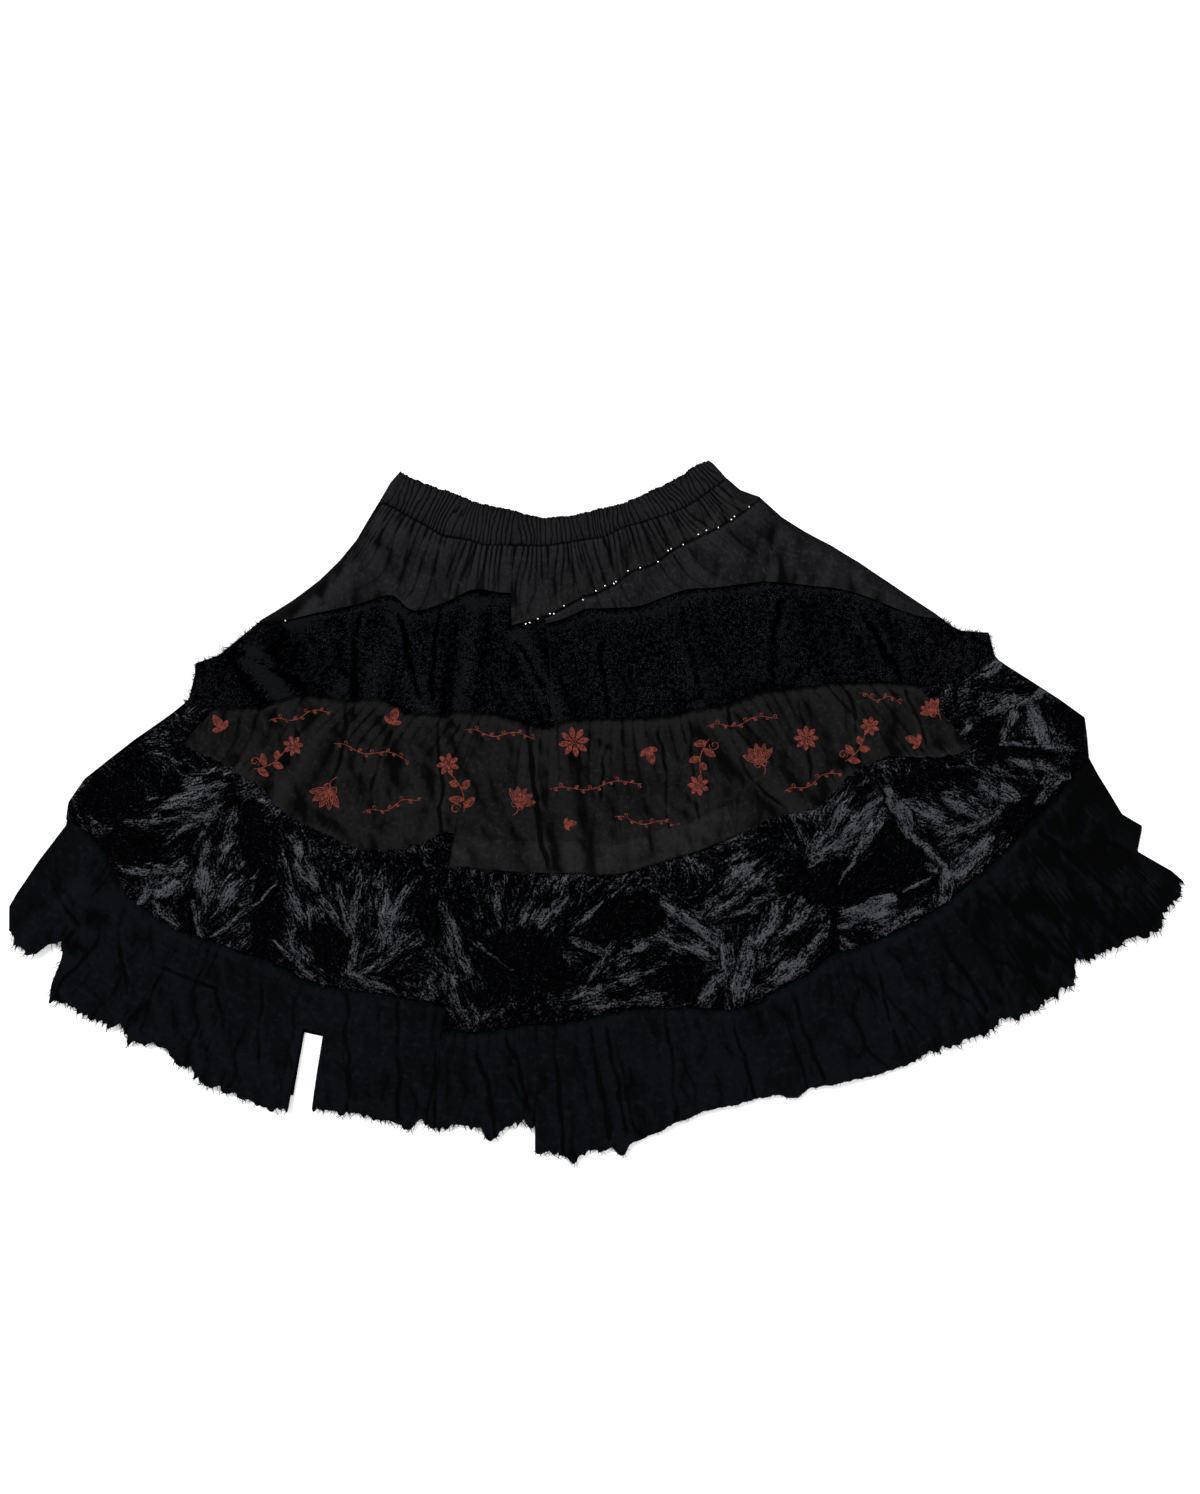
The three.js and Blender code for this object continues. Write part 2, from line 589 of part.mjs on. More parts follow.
function satinFront() {
  return frontPanel("satin_front", COLOURS.satin, SATIN_WALL, [
    row(satinTuck, 0),
    row(satinCover, 0),
    row(between(satinCover, satinHemTuck, ROWS.satin.upper), 0),
    row(between(satinCover, satinHemTuck, ROWS.satin.middle), 0),
    row(between(satinCover, satinHemTuck, ROWS.satin.lower), RISEN.satin * OVER_COTTON),
    row(satinHemTuck, OVER_RUFFLE),
    row(line.satin, OVER_RUFFLE),
  ]);
}

// The hem ruffle has a column more between each two of the shared ones.
function ruffleFront() {
  const shares = Object.values(ROWS.ruffle);
  const lines = [satinHemTuck, line.satin].concat(
    shares.map((share) => between(line.satin, line.hem, share)),
  );
  const slitCell = (u) => u > SLIT_LEFT - 1e-9 && u < SLIT_RIGHT - 1e-9;
  const columns = COLUMNS.flatMap((u, i) => {
    const next = COLUMNS[i + 1];
    const wide = next - u > 0.5 / COLUMN_COUNT && !slitCell(u);
    const shared = { u, left: u, right: u };
    return wide ? [shared, { u: (u + next) / 2, left: u, right: next }] : [shared];
  });
  const grid = columns.map(({ u, left, right }) =>
    lines.map((radiusOf, j) => {
      const radius = radiusOf(u);
      const angle = angleAt(u, radius);
      const down = clamp((radius - line.satin(u)) / (line.hem(u) - line.satin(u)));
      const tucked = j < 2 && left !== right ? RUFFLE_TUCK : 1;
      const shared = (tucked * (relief(left, radiusOf(left)) + relief(right, radiusOf(right)))) / 2;
      const sides = smooth(u / SIDE_FADE) * smooth((1 - u) / SIDE_FADE);
      const swell = j < 2 ? 0 : ruffleHeight(angle, down) * sides;
      return { ...onPlane(leaning(angle, radius), radius), z: FRONT_BASE + shared + swell };
    }),
  );
  const open = (i, j) => j >= 2 && slitCell(columns[i].u);
  return wallMesh("ruffle_front", COLOURS.ruffle, grid, COTTON_WALL, open);
}

// The back lies flat on the surface, a little inside the front's outline.
function backPanels() {
  const even = Array.from({ length: BACK_COLUMN_COUNT + 1 }, (_, k) => k / BACK_COLUMN_COUNT);
  const columns = [...even, SLIT_LEFT, SLIT_RIGHT].sort((a, b) => a - b);
  const arc = (radius) => () => radius;
  const waist = (u) => line.waist(u) + 3;
  const evenHem = (u) => curved(EDGES, "angle", angleAt(u, BACK_HEM.radius), "hem");
  const hem = (u) => (u < BACK_HEM.leftReach ? BACK_HEM.left : evenHem(u) - BACK_HEM.lift);
  const seams = {
    waist,
    band: line.band,
    yoke: arc(BACK_SEAMS.yoke),
    fleece: arc(BACK_SEAMS.fleece),
    print: arc(BACK_SEAMS.print),
    satin: arc(BACK_SEAMS.satin),
    hem,
  };
  const panels = [
    { name: "waistband_back", colour: COLOURS.cotton, top: seams.waist, bottom: seams.band },
    { name: "yoke_back", colour: COLOURS.cotton, top: seams.band, bottom: seams.yoke },
    { name: "fleece_back", colour: COLOURS.fleece, top: seams.yoke, bottom: seams.fleece },
    { name: "print_back", colour: COLOURS.print, top: seams.fleece, bottom: seams.print },
    { name: "satin_back", colour: COLOURS.satin, top: seams.print, bottom: seams.satin },
    { name: "ruffle_back", colour: COLOURS.ruffle, top: seams.satin, bottom: seams.hem, slit: true },
  ];
  const angleOfBack = (u, radius) => {
    const inset = degrees(SIDE_INSET / radius) * (1 - 2 * u);
    return angleAt(u, radius) + inset;
  };
  return panels.map(({ name, colour, top, bottom, slit }) => {
    const shares = Object.values(slit ? ROWS.backRuffle : ROWS.back);
    const grid = columns.map((u) =>
      shares.map((share) => {
        const radius = mix(top(u) + SEAM_GAP / 2, bottom(u) - SEAM_GAP / 2, share);
        return { ...onPlane(leaning(angleOfBack(u, radius), radius), radius), z: 0 };
      }),
    );
    const open = (i, j) => slit && j >= 1 && columns[i] === SLIT_LEFT;
    return wallMesh(name, colour, grid, COTTON_WALL, open);
  });
}

const skirt = new THREE.Group();
skirt.name = "tiered_skirt";
skirt.add(
  ...backPanels(),
  waistbandFront(),
  lowerYokeFront(),
  yokeFront(),
  yokeTape(),
  fleeceFront(),
  printFront(),
  printTape(),
  satinFront(),
  ruffleFront(),
);

// The origin is the centre of the underside.
const box = new THREE.Box3().setFromObject(skirt);
skirt.position.set(-(box.min.x + box.max.x) / 2, -(box.min.y + box.max.y) / 2, -box.min.z);

export default skirt;
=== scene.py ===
import math

import bpy
import numpy as np
from bpy.props import FloatProperty, FloatVectorProperty, IntProperty, PointerProperty
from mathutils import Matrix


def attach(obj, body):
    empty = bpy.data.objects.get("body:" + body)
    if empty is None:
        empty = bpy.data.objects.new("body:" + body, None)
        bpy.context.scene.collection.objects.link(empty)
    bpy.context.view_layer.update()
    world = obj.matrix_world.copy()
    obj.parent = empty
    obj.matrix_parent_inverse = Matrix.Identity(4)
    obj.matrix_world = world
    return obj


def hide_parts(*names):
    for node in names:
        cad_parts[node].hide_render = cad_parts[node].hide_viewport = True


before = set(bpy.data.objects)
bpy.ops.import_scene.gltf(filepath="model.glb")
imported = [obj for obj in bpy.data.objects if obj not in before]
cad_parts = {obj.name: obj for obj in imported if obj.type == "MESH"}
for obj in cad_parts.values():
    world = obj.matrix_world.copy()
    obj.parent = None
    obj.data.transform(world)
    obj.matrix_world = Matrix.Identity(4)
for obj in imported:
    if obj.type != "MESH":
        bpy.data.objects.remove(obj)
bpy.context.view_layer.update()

bl_info = {
    "name": "Tiered Patchwork Skirt",
    "version": (1, 0, 0),
    "blender": (4, 5, 0),
    "location": "3D View > Sidebar > Skirt",
    "description": "Dresses the laid-out skirt: cotton, fleece, print, satin and ruffle",
    "category": "Object",
}

# Lengths are millimetres until a mesh is made. A place on the skirt is a column u,
# from 0 at its left side to 1 at its right, and a radius from the centre of flare.
MM = 0.001
FLARE_X, FLARE_Y = -43.121, 577.242
PIXEL_MM = 1.05
PHOTO_MIDDLE_X, PHOTO_MIDDLE_Y = 594.5, 810.0
SHIFT_X, SHIFT_Y = -1.621, -0.258

COTTON_WALL = 1.5
FLEECE_WALL = 3.0
BAND_WALL = 2.4
LAYER_GAP = 0.4
FLEECE_GAP = 0.6
OVERLAP = 18.0
PRINT_TAPE = 33.0
FRONT_BASE = COTTON_WALL + LAYER_GAP
OVER_COTTON = COTTON_WALL + LAYER_GAP
OVER_FLEECE = FLEECE_WALL + FLEECE_GAP
END_REACH = 0.06
SIDE_FADE = 0.035
PRINT_TUCK = 0.05
HIDDEN_DROP = 1.5
LOWEST = 0.1
SEAM_GAP = 0.1
BEAD_RISE = 1.2
INK_RISE = 0.22
WRAP_HEM_RISE, PRINT_HEM_RISE = 0.5, 0.6
ARC_RADIUS = 600
STEP_PAIR = 0.00025
PAST_STEP = 0.0006
EDGE_FUZZ, END_FUZZ, CUT_THREADS = 900, 420, 520
FLOOR_HALF = 6.0
PHOTO_WIDTH, PHOTO_HEIGHT = 1200, 1494
SENSOR = 36.0

# Gathers below a seam: how many, how high, how far down they reach, and a seed.
GATHERS = {
    "fine yoke": (66, 3.4, 20, 5),
    "broad yoke": (25, 3.0, 46, 9),
    "print": (64, 1.9, 34, 33),
    "satin": (210, 2.0, 11, 57),
    "ruffle": (96, 1.0, 22, 43),
}

# Crumples: height, size across and along, turn in degrees, and a seed.
CRUMPLES = {
    "yoke": [(2.4, 26, 40, 16, 15), (2.0, 10, 20, -24, 19)],
    "fleece": [(2.2, 30, 60, 8, 27)],
    "print": [(2.8, 19, 46, -6, 37), (1.2, 9, 15, 15, 39)],
    "ruffle": [(4.6, 27, 34, 8, 45), (2.6, 12, 17, -20, 49)],
}

# How far each raw edge wanders, and its seed.
RAW_EDGES = {
    "waist": (1.0, 79),
    "fleece": (2.6, 81),
    "print": (2.2, 83),
    "satin": (2.8, 85),
    "hem": (5.0, 87),
}

# The grid of each front sheet: its columns and rows, and how deep its rims are.
GRIDS = {
    "Waistband_front": (800, 22, 2.2),
    "Yoke_wrap": (530, 76, 1.6),
    "Yoke_lower_layer": (290, 84, 1.6),
    "Yoke_wrap_hem": (380, 16, 0.8),
    "Fleece_tier": (680, 98, 3.0),
    "Printed_tier": (660, 100, 1.6),
    "Printed_tier_hem": (240, 24, 1.0),
    "Satin_tier": (800, 118, 1.6),
    "Hem_ruffle": (900, 96, 1.6),
}

# Each sheet: its cloth, flat size and area in metres, what it lies on, and its solid.
SHEETS = {
    "Waistband_front": ("cotton", (0.52, 0.045), None, ["Back_waistband"], "waistband_front"),
    "Yoke_wrap": ("cotton", (0.62, 0.16), 0.045, ["Yoke_lower_layer", "Back_yoke"], "yoke_wrap_front"),
    "Yoke_lower_layer": ("cotton", (0.45, 0.17), 0.032, ["Back_yoke"], "yoke_lower_front"),
    "Yoke_wrap_hem": ("tape", (0.42, 0.021), None, ["Yoke_wrap"], "yoke_wrap_tape"),
    "Fleece_tier": ("fleece", (0.90, 0.17), 0.112, ["Printed_tier", "Back_fleece"], "fleece_front"),
    "Printed_tier": ("ground", (0.95, 0.18), 0.14, ["Satin_tier", "Back_printed_tier"], "print_front"),
    "Printed_tier_hem": ("tape", (0.42, 0.035), None, ["Printed_tier"], "print_tape_front"),
    "Satin_tier": ("satin", (1.25, 0.25), 0.26, ["Hem_ruffle", "Back_satin"], "satin_front"),
    "Hem_ruffle": ("ruffle", (1.65, 0.16), 0.25, ["Back_ruffle"], "ruffle_front"),
    "Back_waistband": ("cotton", (0.44, 0.045), None, [], "waistband_back"),
    "Back_yoke": ("cotton", (0.62, 0.13), 0.075, [], "yoke_back"),
    "Back_fleece": ("fleece", (0.84, 0.16), 0.112, [], "fleece_back"),
    "Back_printed_tier": ("ground", (1.04, 0.18), 0.158, [], "print_back"),
    "Back_satin": ("satin", (1.28, 0.22), 0.24, [], "satin_back"),
    "Back_ruffle": ("ruffle", (1.50, 0.16), 0.20, [], "ruffle_back"),
}


def table(columns, rows):
    """A table as one array for each named column."""
    values = np.array(rows, float)
    return {name: values[:, k] for k, name in enumerate(columns.split())}


# The outline at both sides, as angles in degrees from straight down.
SIDES = table("radius left right", [
    (262, -36.2, 37.3), (270, -36.2, 37.9), (290, -36.5, 38.2), (310, -36.1, 38.9), (329, -35.8, 40.9),
    (360, -35.3, 41.5), (388, -35.6, 42.7), (417, -36.3, 44.1), (451, -37.6, 45.2), (487, -39.2, 46.0),
    (545, -40.4, 47.1), (567, -41.7, 47.3), (577, -40.9, 47.6), (600, -39.8, 49.3), (622, -40.2, 47.9),
    (671, -41.3, 48.6), (704, -41.8, 49.0), (735, -42.2, 49.2), (765, -41.9, 47.1), (785, -40.9, 46.6),
    (833, -40.7, 45.7), (857, -40.5, 46.1), (872, -40.4, 44.6), (889, -40.2, 44.9), (912, -39.0, 45.3),
    (940, -38.6, 45.4),
])
FAN = {"left": (-36.0, -40.5, 380.0, 560.0), "right": (37.5, 47.0, 270.0, 500.0)}

# The radius of each tier's lower edge, a row for every four degrees.
EDGES = table("angle waist band wrap yoke fleece print satin hem", [
    (-42, 276, 318, 500, 500, 614, 640, 781, 912), (-38, 276, 317, 482, 482, 594, 642, 777, 912),
    (-34, 274, 311, 448, 448, 565, 635, 802, 933), (-30, 271, 310, 418, 418, 525, 633, 806, 930),
    (-26, 268, 310, 392, 392, 513, 646, 798, 927), (-22, 266, 312, 397, 397, 496, 648, 795, 938),
    (-18, 267, 308, 379, 379, 498, 650, 800, 934), (-14, 266, 308, 357, 357, 490, 635, 792, 921),
    (-10, 266, 304, 354, 354, 480, 610, 790, 924), (-6, 269, 301, 353, 354, 481, 619, 793, 914),
    (-2, 270, 300, 355, 363, 489, 631, 790, 909), (2, 269, 297, 354, 367, 482, 643, 794, 922),
    (6, 267, 295, 353, 368, 482, 648, 789, 921), (10, 265, 295, 346, 371, 487, 641, 797, 908),
    (14, 265, 290, 336, 374, 491, 638, 807, 906), (18, 264, 290, 335, 372, 494, 632, 797, 912),
    (22, 262, 291, 328, 373, 499, 629, 786, 920), (26, 262, 293, 327, 383, 503, 636, 789, 924),
    (30, 262, 293, 328, 393, 517, 622, 790, 930), (34, 261, 292, 329, 408, 534, 629, 783, 935),
    (38, 265, 292, 330, 434, 562, 662, 776, 924), (42, 265, 292, 329, 470, 597, 677, 770, 941),
    (46, 265, 292, 329, 540, 617, 680, 766, 926), (50, 265, 292, 329, 575, 622, 680, 766, 926),
])

# Where a lower edge drops at once: angle, radius, drop, fade in degrees.
STEPS = {
    "wrap": (-7.2, 368, 33, 12),
    "yoke": (-7.2, 368, 33, 12),
    "print": (-10, 630, 38, 12),
    "satin": (-8.3, 803, 26, 12),
    "hem": (-1.3, 925, 26, 9),
}

HEM_SWINGS = table("angle reach out", [
    (-35.8, 1.5, -40), (-34.2, 0.8, 8), (-29.6, 0.6, -7), (-28.5, 0.5, 9), (-23.0, 1.2, 4),
    (-8.8, 0.9, -6), (-4.1, 1.3, 15), (1.0, 1.3, 6), (4.3, 0.7, 10), (16.0, 1.3, 7), (30.6, 0.7, -6),
    (36.7, 0.9, -12), (41.9, 1.2, 7),
])

PRINT_LEFT_PLACE, PRINT_RIGHT_PLACE = (-37.4, 625), (40.7, 635)
LOWER_YOKE_PLACE = (-1.6, 378)
TAPE_END_PLACE = (17.5, 635)
SLIT_LEFT_ANGLE, SLIT_RIGHT_ANGLE = -18.2, -16.7
SLIT_RADIUS, SLIT_TOP, SLIT_LEAN, SLIT_REACH, SLIT_LENGTH = 850, 848, 0.75, 5, 85

# The largest folds, the same soft ridges as the solids have.
FOLDS = table("angle radius to_angle to_radius width rise", [
    (-29, 335, -35, 470, 44, 3.5), (27, 320, 34, 395, 44, 3), (-39, 520, -31, 545, 46, 5),
    (-24, 405, -23, 500, 52, 4), (-13, 375, -12, 480, 40, 5), (-5, 400, 1, 490, 44, 5),
    (17, 385, 19, 485, 70, 4), (-26, 505, -27, 650, 46, 5), (-16, 495, -15, 640, 50, 4),
    (0, 500, 2, 660, 44, 4.5), (18, 495, 24, 640, 46, 6), (31, 525, 33, 620, 56, 4),
    (-31, 640, -37, 760, 60, 8), (-22, 660, -25, 790, 56, 8), (-17, 700, -8, 760, 50, 7),
    (-8.5, 690, -7, 800, 42, 9), (1, 665, 6, 770, 64, 7), (12, 690, 13, 810, 52, 10),
    (29, 630, 25, 745, 52, 10), (31, 640, 35, 745, 48, 10), (34, 650, 46, 730, 54, 7),
    (43, 620, 48, 690, 44, 6), (-37, 835, -38, 910, 60, 7), (36, 800, 43, 900, 64, 7),
])

# The creases of the hem ruffle, as angles at its seam and at its hem.
CREASES = table("top hem rise", [
    (-41, -40, 0), (-38.5, -36.3, 5), (-35, -33.5, 4), (-32, -31, 3), (-29.5, -28.7, 5), (-26, -25, 4),
    (-23, -21.5, 3), (-19.5, -17.4, 4), (-15.8, -13.8, 3), (-11.8, -10.6, 3), (-9.2, -8.4, 2.5),
    (-6.2, -3.8, 4), (-3.8, -1.6, 3), (-0.4, 0.6, 4), (2.6, 3.6, 4), (4.8, 5.8, 3), (8.2, 9.4, 5),
    (12, 13, 4), (16, 17.4, 5), (20.5, 21.5, 4), (24.5, 25.3, 5), (28.5, 29.6, 4), (32, 33, 5),
    (36, 36.7, 6), (39.5, 39.8, 5), (42.5, 43.8, 5), (47, 46, 0),
])

# Narrow creases, as places in the 1200 by 1494 photograph, with millimetre sizes.
CREASE_LINES = table("x_px y_px to_x_px to_y_px width depth", [
    (528, 722, 534, 790, 3.0, 2.2), (534, 790, 546, 868, 3.0, 2.2), (440, 722, 442, 830, 2.4, 1.4),
    (727, 705, 733, 745, 2.6, 2.2), (733, 745, 748, 778, 2.6, 2.2), (748, 778, 782, 806, 2.2, 1.6),
    (610, 722, 600, 800, 2.2, 1.0), (660, 724, 668, 830, 2.4, 1.0), (395, 712, 372, 790, 2.4, 1.2),
    (350, 704, 330, 800, 2.6, 1.3), (290, 700, 300, 760, 2.4, 1.2), (690, 730, 700, 820, 2.4, 0.9),
    (800, 700, 812, 780, 2.6, 1.2), (850, 690, 862, 760, 2.4, 1.1), (905, 690, 925, 742, 2.4, 1.1),
    (398, 612, 420, 700, 4.0, 2.4), (440, 604, 432, 700, 3.6, 2.0), (515, 640, 545, 690, 4.5, 2.6),
    (545, 690, 552, 716, 4.0, 2.0), (600, 640, 610, 712, 4.0, 1.6), (238, 651, 301, 684, 5.0, 2.4),
    (360, 612, 352, 695, 4.0, 1.6), (680, 610, 700, 700, 4.5, 1.4), (780, 600, 770, 685, 5.0, 1.4),
    (860, 612, 900, 680, 5.0, 1.6), (346, 990, 347, 1112, 3.0, 1.6), (399, 1000, 399, 1122, 3.0, 1.6),
    (433, 1012, 436, 1126, 3.0, 1.2), (475, 1034, 499, 1138, 3.0, 2.0), (507, 1032, 530, 1120, 3.0, 1.8),
    (551, 1024, 564, 1154, 3.0, 1.8), (588, 1020, 609, 1140, 3.2, 2.0), (605, 1018, 625, 1136, 3.0, 1.6),
    (665, 1006, 672, 1060, 3.0, 1.8), (672, 1060, 678, 1126, 3.0, 1.4), (731, 1012, 754, 1094, 3.0, 1.8),
    (788, 986, 822, 1080, 3.4, 1.8), (163, 968, 214, 988, 2.4, 1.6), (214, 988, 226, 1030, 2.4, 1.2),
    (120, 930, 128, 985, 2.6, 1.2), (262, 990, 258, 1060, 2.6, 1.2), (48, 880, 78, 925, 2.8, 1.4),
    (870, 945, 900, 1050, 2.8, 1.4), (930, 918, 985, 1010, 3.6, 1.8), (985, 880, 1060, 960, 3.8, 1.8),
    (1040, 830, 1120, 900, 3.8, 1.8),
])

# Shards of the crushed satin, raised a little and lit with painted sheen, as places in photograph pixels.
SHEEN_SHARDS = table("x_px y_px to_x_px to_y_px width", [
    (226, 784, 166, 806, 18), (206, 816, 124, 821, 3), (224, 802, 162, 846, 6), (218, 800, 200, 838, 8),
    (236, 818, 226, 854, 15), (207, 842, 204, 902, 10), (182, 872, 122, 872, 6), (182, 872, 156, 898, 17),
    (158, 882, 136, 902, 11), (152, 903, 178, 924, 6), (192, 898, 205, 940, 5), (278, 884, 212, 936, 4),
    (246, 928, 226, 946, 6), (244, 876, 222, 904, 10), (290, 838, 314, 886, 13), (284, 852, 302, 918, 6),
    (318, 896, 352, 936, 6), (338, 886, 356, 938, 10), (362, 882, 348, 934, 9), (382, 880, 386, 944, 13),
    (408, 886, 378, 938, 9), (284, 922, 302, 962, 3), (274, 942, 314, 978, 4), (348, 974, 400, 994, 7),
    (358, 936, 348, 972, 8), (404, 948, 356, 976, 6), (442, 902, 468, 972, 15), (444, 972, 462, 1008, 9),
    (476, 942, 512, 970, 3), (494, 882, 500, 922, 7), (536, 892, 522, 922, 8), (566, 890, 542, 928, 14),
    (602, 902, 572, 932, 5), (574, 940, 604, 954, 8), (612, 944, 588, 980, 6), (644, 942, 604, 970, 9),
    (652, 972, 572, 996, 6), (664, 994, 596, 1008, 4), (652, 938, 716, 956, 6), (662, 902, 718, 942, 10),
    (726, 970, 696, 1008, 14), (722, 944, 727, 1006, 5), (750, 940, 736, 1006, 18),
    (756, 862, 722, 890, 13), (764, 876, 712, 914, 8), (778, 892, 728, 918, 7), (778, 906, 758, 944, 13),
    (810, 908, 780, 936, 9), (814, 948, 758, 992, 15), (830, 922, 814, 946, 5), (790, 812, 812, 862, 5),
    (822, 816, 808, 856, 6), (852, 792, 808, 860, 6), (878, 798, 836, 842, 11), (846, 836, 808, 868, 8),
    (884, 812, 858, 846, 11), (864, 844, 838, 884, 4), (886, 790, 912, 836, 17), (900, 822, 944, 866, 8),
    (936, 876, 900, 892, 4), (944, 868, 948, 906, 14), (922, 906, 894, 924, 6), (892, 896, 842, 914, 13),
    (884, 912, 838, 926, 9), (842, 936, 858, 946, 8), (902, 802, 942, 818, 15), (944, 796, 984, 812, 21),
    (982, 782, 1018, 800, 14), (944, 838, 1000, 812, 5), (990, 836, 956, 876, 14),
    (1062, 774, 1036, 802, 14), (1036, 764, 1074, 780, 8), (1008, 756, 1034, 772, 8),
    (1086, 752, 1002, 742, 3), (1018, 704, 1002, 740, 9), (1030, 704, 1046, 744, 15),
    (1048, 690, 986, 714, 7), (1002, 662, 982, 674, 9), (978, 718, 960, 734, 8),
])

# The silver beads along the wrap's hem, and one at the left side.
BEADS = table("x_px y_px", [
    (526, 624), (530, 623), (538, 619), (550, 614), (554, 614), (564, 606), (583, 600), (596, 591),
    (605, 586), (614, 584), (616, 582), (628, 571), (640, 568), (658, 562), (668, 551), (671, 549),
    (683, 545), (698, 535), (706, 531), (718, 528), (731, 520), (734, 517), (749, 507), (286, 621),
])

# Hollows of the satin, lowered a little and darkened with painted shade, in photograph pixels.
SHADED_POCKETS = table("x_px y_px half_x half_y", [
    (860, 882, 80, 24), (900, 848, 30, 24), (834, 934, 6, 30), (633, 916, 36, 22), (520, 962, 46, 34),
    (268, 924, 16, 52), (332, 946, 22, 24), (252, 832, 14, 34), (136, 846, 34, 18), (190, 914, 10, 26),
    (436, 918, 16, 20), (682, 978, 24, 26), (1020, 752, 30, 7), (1024, 818, 22, 22), (1080, 766, 12, 16),
    (990, 736, 10, 20), (942, 774, 30, 7), (112, 800, 32, 24), (1076, 720, 12, 26),
])


# Numbers and curves


def mix(a, b, t):
    return a + (b - a) * t


def smooth(t):
    """0 below 0, 1 above 1, and an S-curve between."""
    t = np.clip(t, 0, 1)
    return t * t * (3 - 2 * t)


def turned(x, y, degrees):
    """A place turned about the origin."""
    c, s = math.cos(math.radians(degrees)), math.sin(math.radians(degrees))
    return x * c - y * s, x * s + y * c


def curved(name, angle):
    """A cubic through the table's rows at their four-degree spacing."""
    rows, values = EDGES["angle"], EDGES[name]
    last = len(rows) - 1
    place = np.clip((angle - rows[0]) / (rows[1] - rows[0]), 0, last - 1e-6)
    i = place.astype(int)
    t = place - i
    a, b, c, d = (values[np.clip(i + k, 0, last)] for k in (-1, 0, 1, 2))
    bend = (2 * a - 5 * b + 4 * c - d) * t + (3 * b - a - 3 * c + d) * t * t
    return b + t * (c - a + bend) / 2


def even_side(side, radius):
    waist, hem, start, end = FAN[side]
    return mix(waist, hem, smooth((radius - start) / (end - start)))


def angle_at(u, radius):
    """The even fan between both sides, bent near each side to its own outline."""
    radius = np.broadcast_to(np.asarray(radius, float), np.shape(u))
    left, right = even_side("left", radius), even_side("right", radius)
    left_stray = np.interp(radius, SIDES["radius"], SIDES["left"]) - left
    right_stray = np.interp(radius, SIDES["radius"], SIDES["right"]) - right
    near_left = (1 - np.clip(u / END_REACH, 0, 1)) ** 2
    near_right = (1 - np.clip((1 - u) / END_REACH, 0, 1)) ** 2
    return mix(left, right, u) + left_stray * near_left + right_stray * near_right


def column_at(angle, radius):
    """The column that passes through a place, found by halving."""
    low, high = 0.0, 1.0
    for _ in range(40):
        middle = (low + high) / 2
        if angle_at(np.array(middle), radius) < angle:
            low = middle
        else:
            high = middle
    return low


STEP_COLUMNS = {edge: column_at(step[0], step[1]) for edge, step in STEPS.items()}
LOWER_YOKE_START = column_at(*LOWER_YOKE_PLACE)
PRINT_LEFT = column_at(*PRINT_LEFT_PLACE)
PRINT_RIGHT = column_at(*PRINT_RIGHT_PLACE)
TAPE_END = column_at(*TAPE_END_PLACE)
SLIT_LEFT = column_at(SLIT_LEFT_ANGLE, SLIT_RADIUS)
SLIT_RIGHT = column_at(SLIT_RIGHT_ANGLE, SLIT_RADIUS)


def hem_swing(angle):
    """The sum of one cosine bump for each row of the table."""
    t = np.abs(angle[..., None] - HEM_SWINGS["angle"]) / HEM_SWINGS["reach"]
    bump = 0.5 + 0.5 * np.cos(np.pi * np.clip(t, 0, 1))
    return (bump * HEM_SWINGS["out"]).sum(-1)


def edge_radius(edge, u):
    """The radius of an edge in column u, with its step and its swings."""
    u = np.asarray(u, float)
    radius = np.full(u.shape, EDGES[edge][12])
    for _ in range(30):
        radius = mix(radius, curved(edge, angle_at(u, radius)), 0.7)
    if edge in STEPS:
        angle, _, drop, fade = STEPS[edge]
        past = (angle_at(u, radius) - angle) / fade
        radius = radius + np.where(u > STEP_COLUMNS[edge], drop * np.clip(1 - past, 0, 1), 0)
    if edge == "hem":
        radius = radius + hem_swing(angle_at(u, radius))
    return radius


def on_plane(angle, radius):
    turn = np.radians(angle)
    return FLARE_X + radius * np.sin(turn), FLARE_Y - radius * np.cos(turn)


def from_plane(x, y):
    """Column and radius of a place, away from the sides' own bends."""
    dx, dy = x - FLARE_X, FLARE_Y - y
    radius = np.hypot(dx, dy)
    angle = np.degrees(np.arctan2(dx, dy))
    left, right = even_side("left", radius), even_side("right", radius)
    return (angle - left) / (right - left), radius


def from_pixels(x_px, y_px):
    """A place in the photograph as millimetres on the skirt."""
    x = (np.asarray(x_px) - PHOTO_MIDDLE_X) * PIXEL_MM + SHIFT_X
    y = (PHOTO_MIDDLE_Y - np.asarray(y_px)) * PIXEL_MM + SHIFT_Y
    return x, y


def leaning(angle, radius):
    """The slit and the cloth beside it lean to the right on the way down."""
    middle = (SLIT_LEFT_ANGLE + SLIT_RIGHT_ANGLE) / 2
    near = 1 - np.clip((np.abs(angle - middle) - 1) / SLIT_REACH, 0, 1)
    return angle + SLIT_LEAN * near * np.clip((radius - SLIT_TOP) / SLIT_LENGTH, 0, 1)


# Noise, the same every run


def scatter(ix, iy, seed):
    """A number from 0 to 1 for each whole-numbered place."""
    n = ix.astype(np.int64) * 374761393 + iy.astype(np.int64) * 668265263 + seed * 974711
    n = (n ^ (n >> 13)) * 1274126177
    n = n ^ (n >> 16)
    return (n & 0xFFFFFF) / float(0xFFFFFF)


def noise(x, y, seed=0):
    """Smooth noise: scattered values, blended over each square."""
    x, y = np.broadcast_arrays(np.asarray(x, float), np.asarray(y, float))
    ix, iy = np.floor(x), np.floor(y)
    tx, ty = smooth(x - ix), smooth(y - iy)
    low = mix(scatter(ix, iy, seed), scatter(ix + 1, iy, seed), tx)
    high = mix(scatter(ix, iy + 1, seed), scatter(ix + 1, iy + 1, seed), tx)
    return mix(low, high, ty)


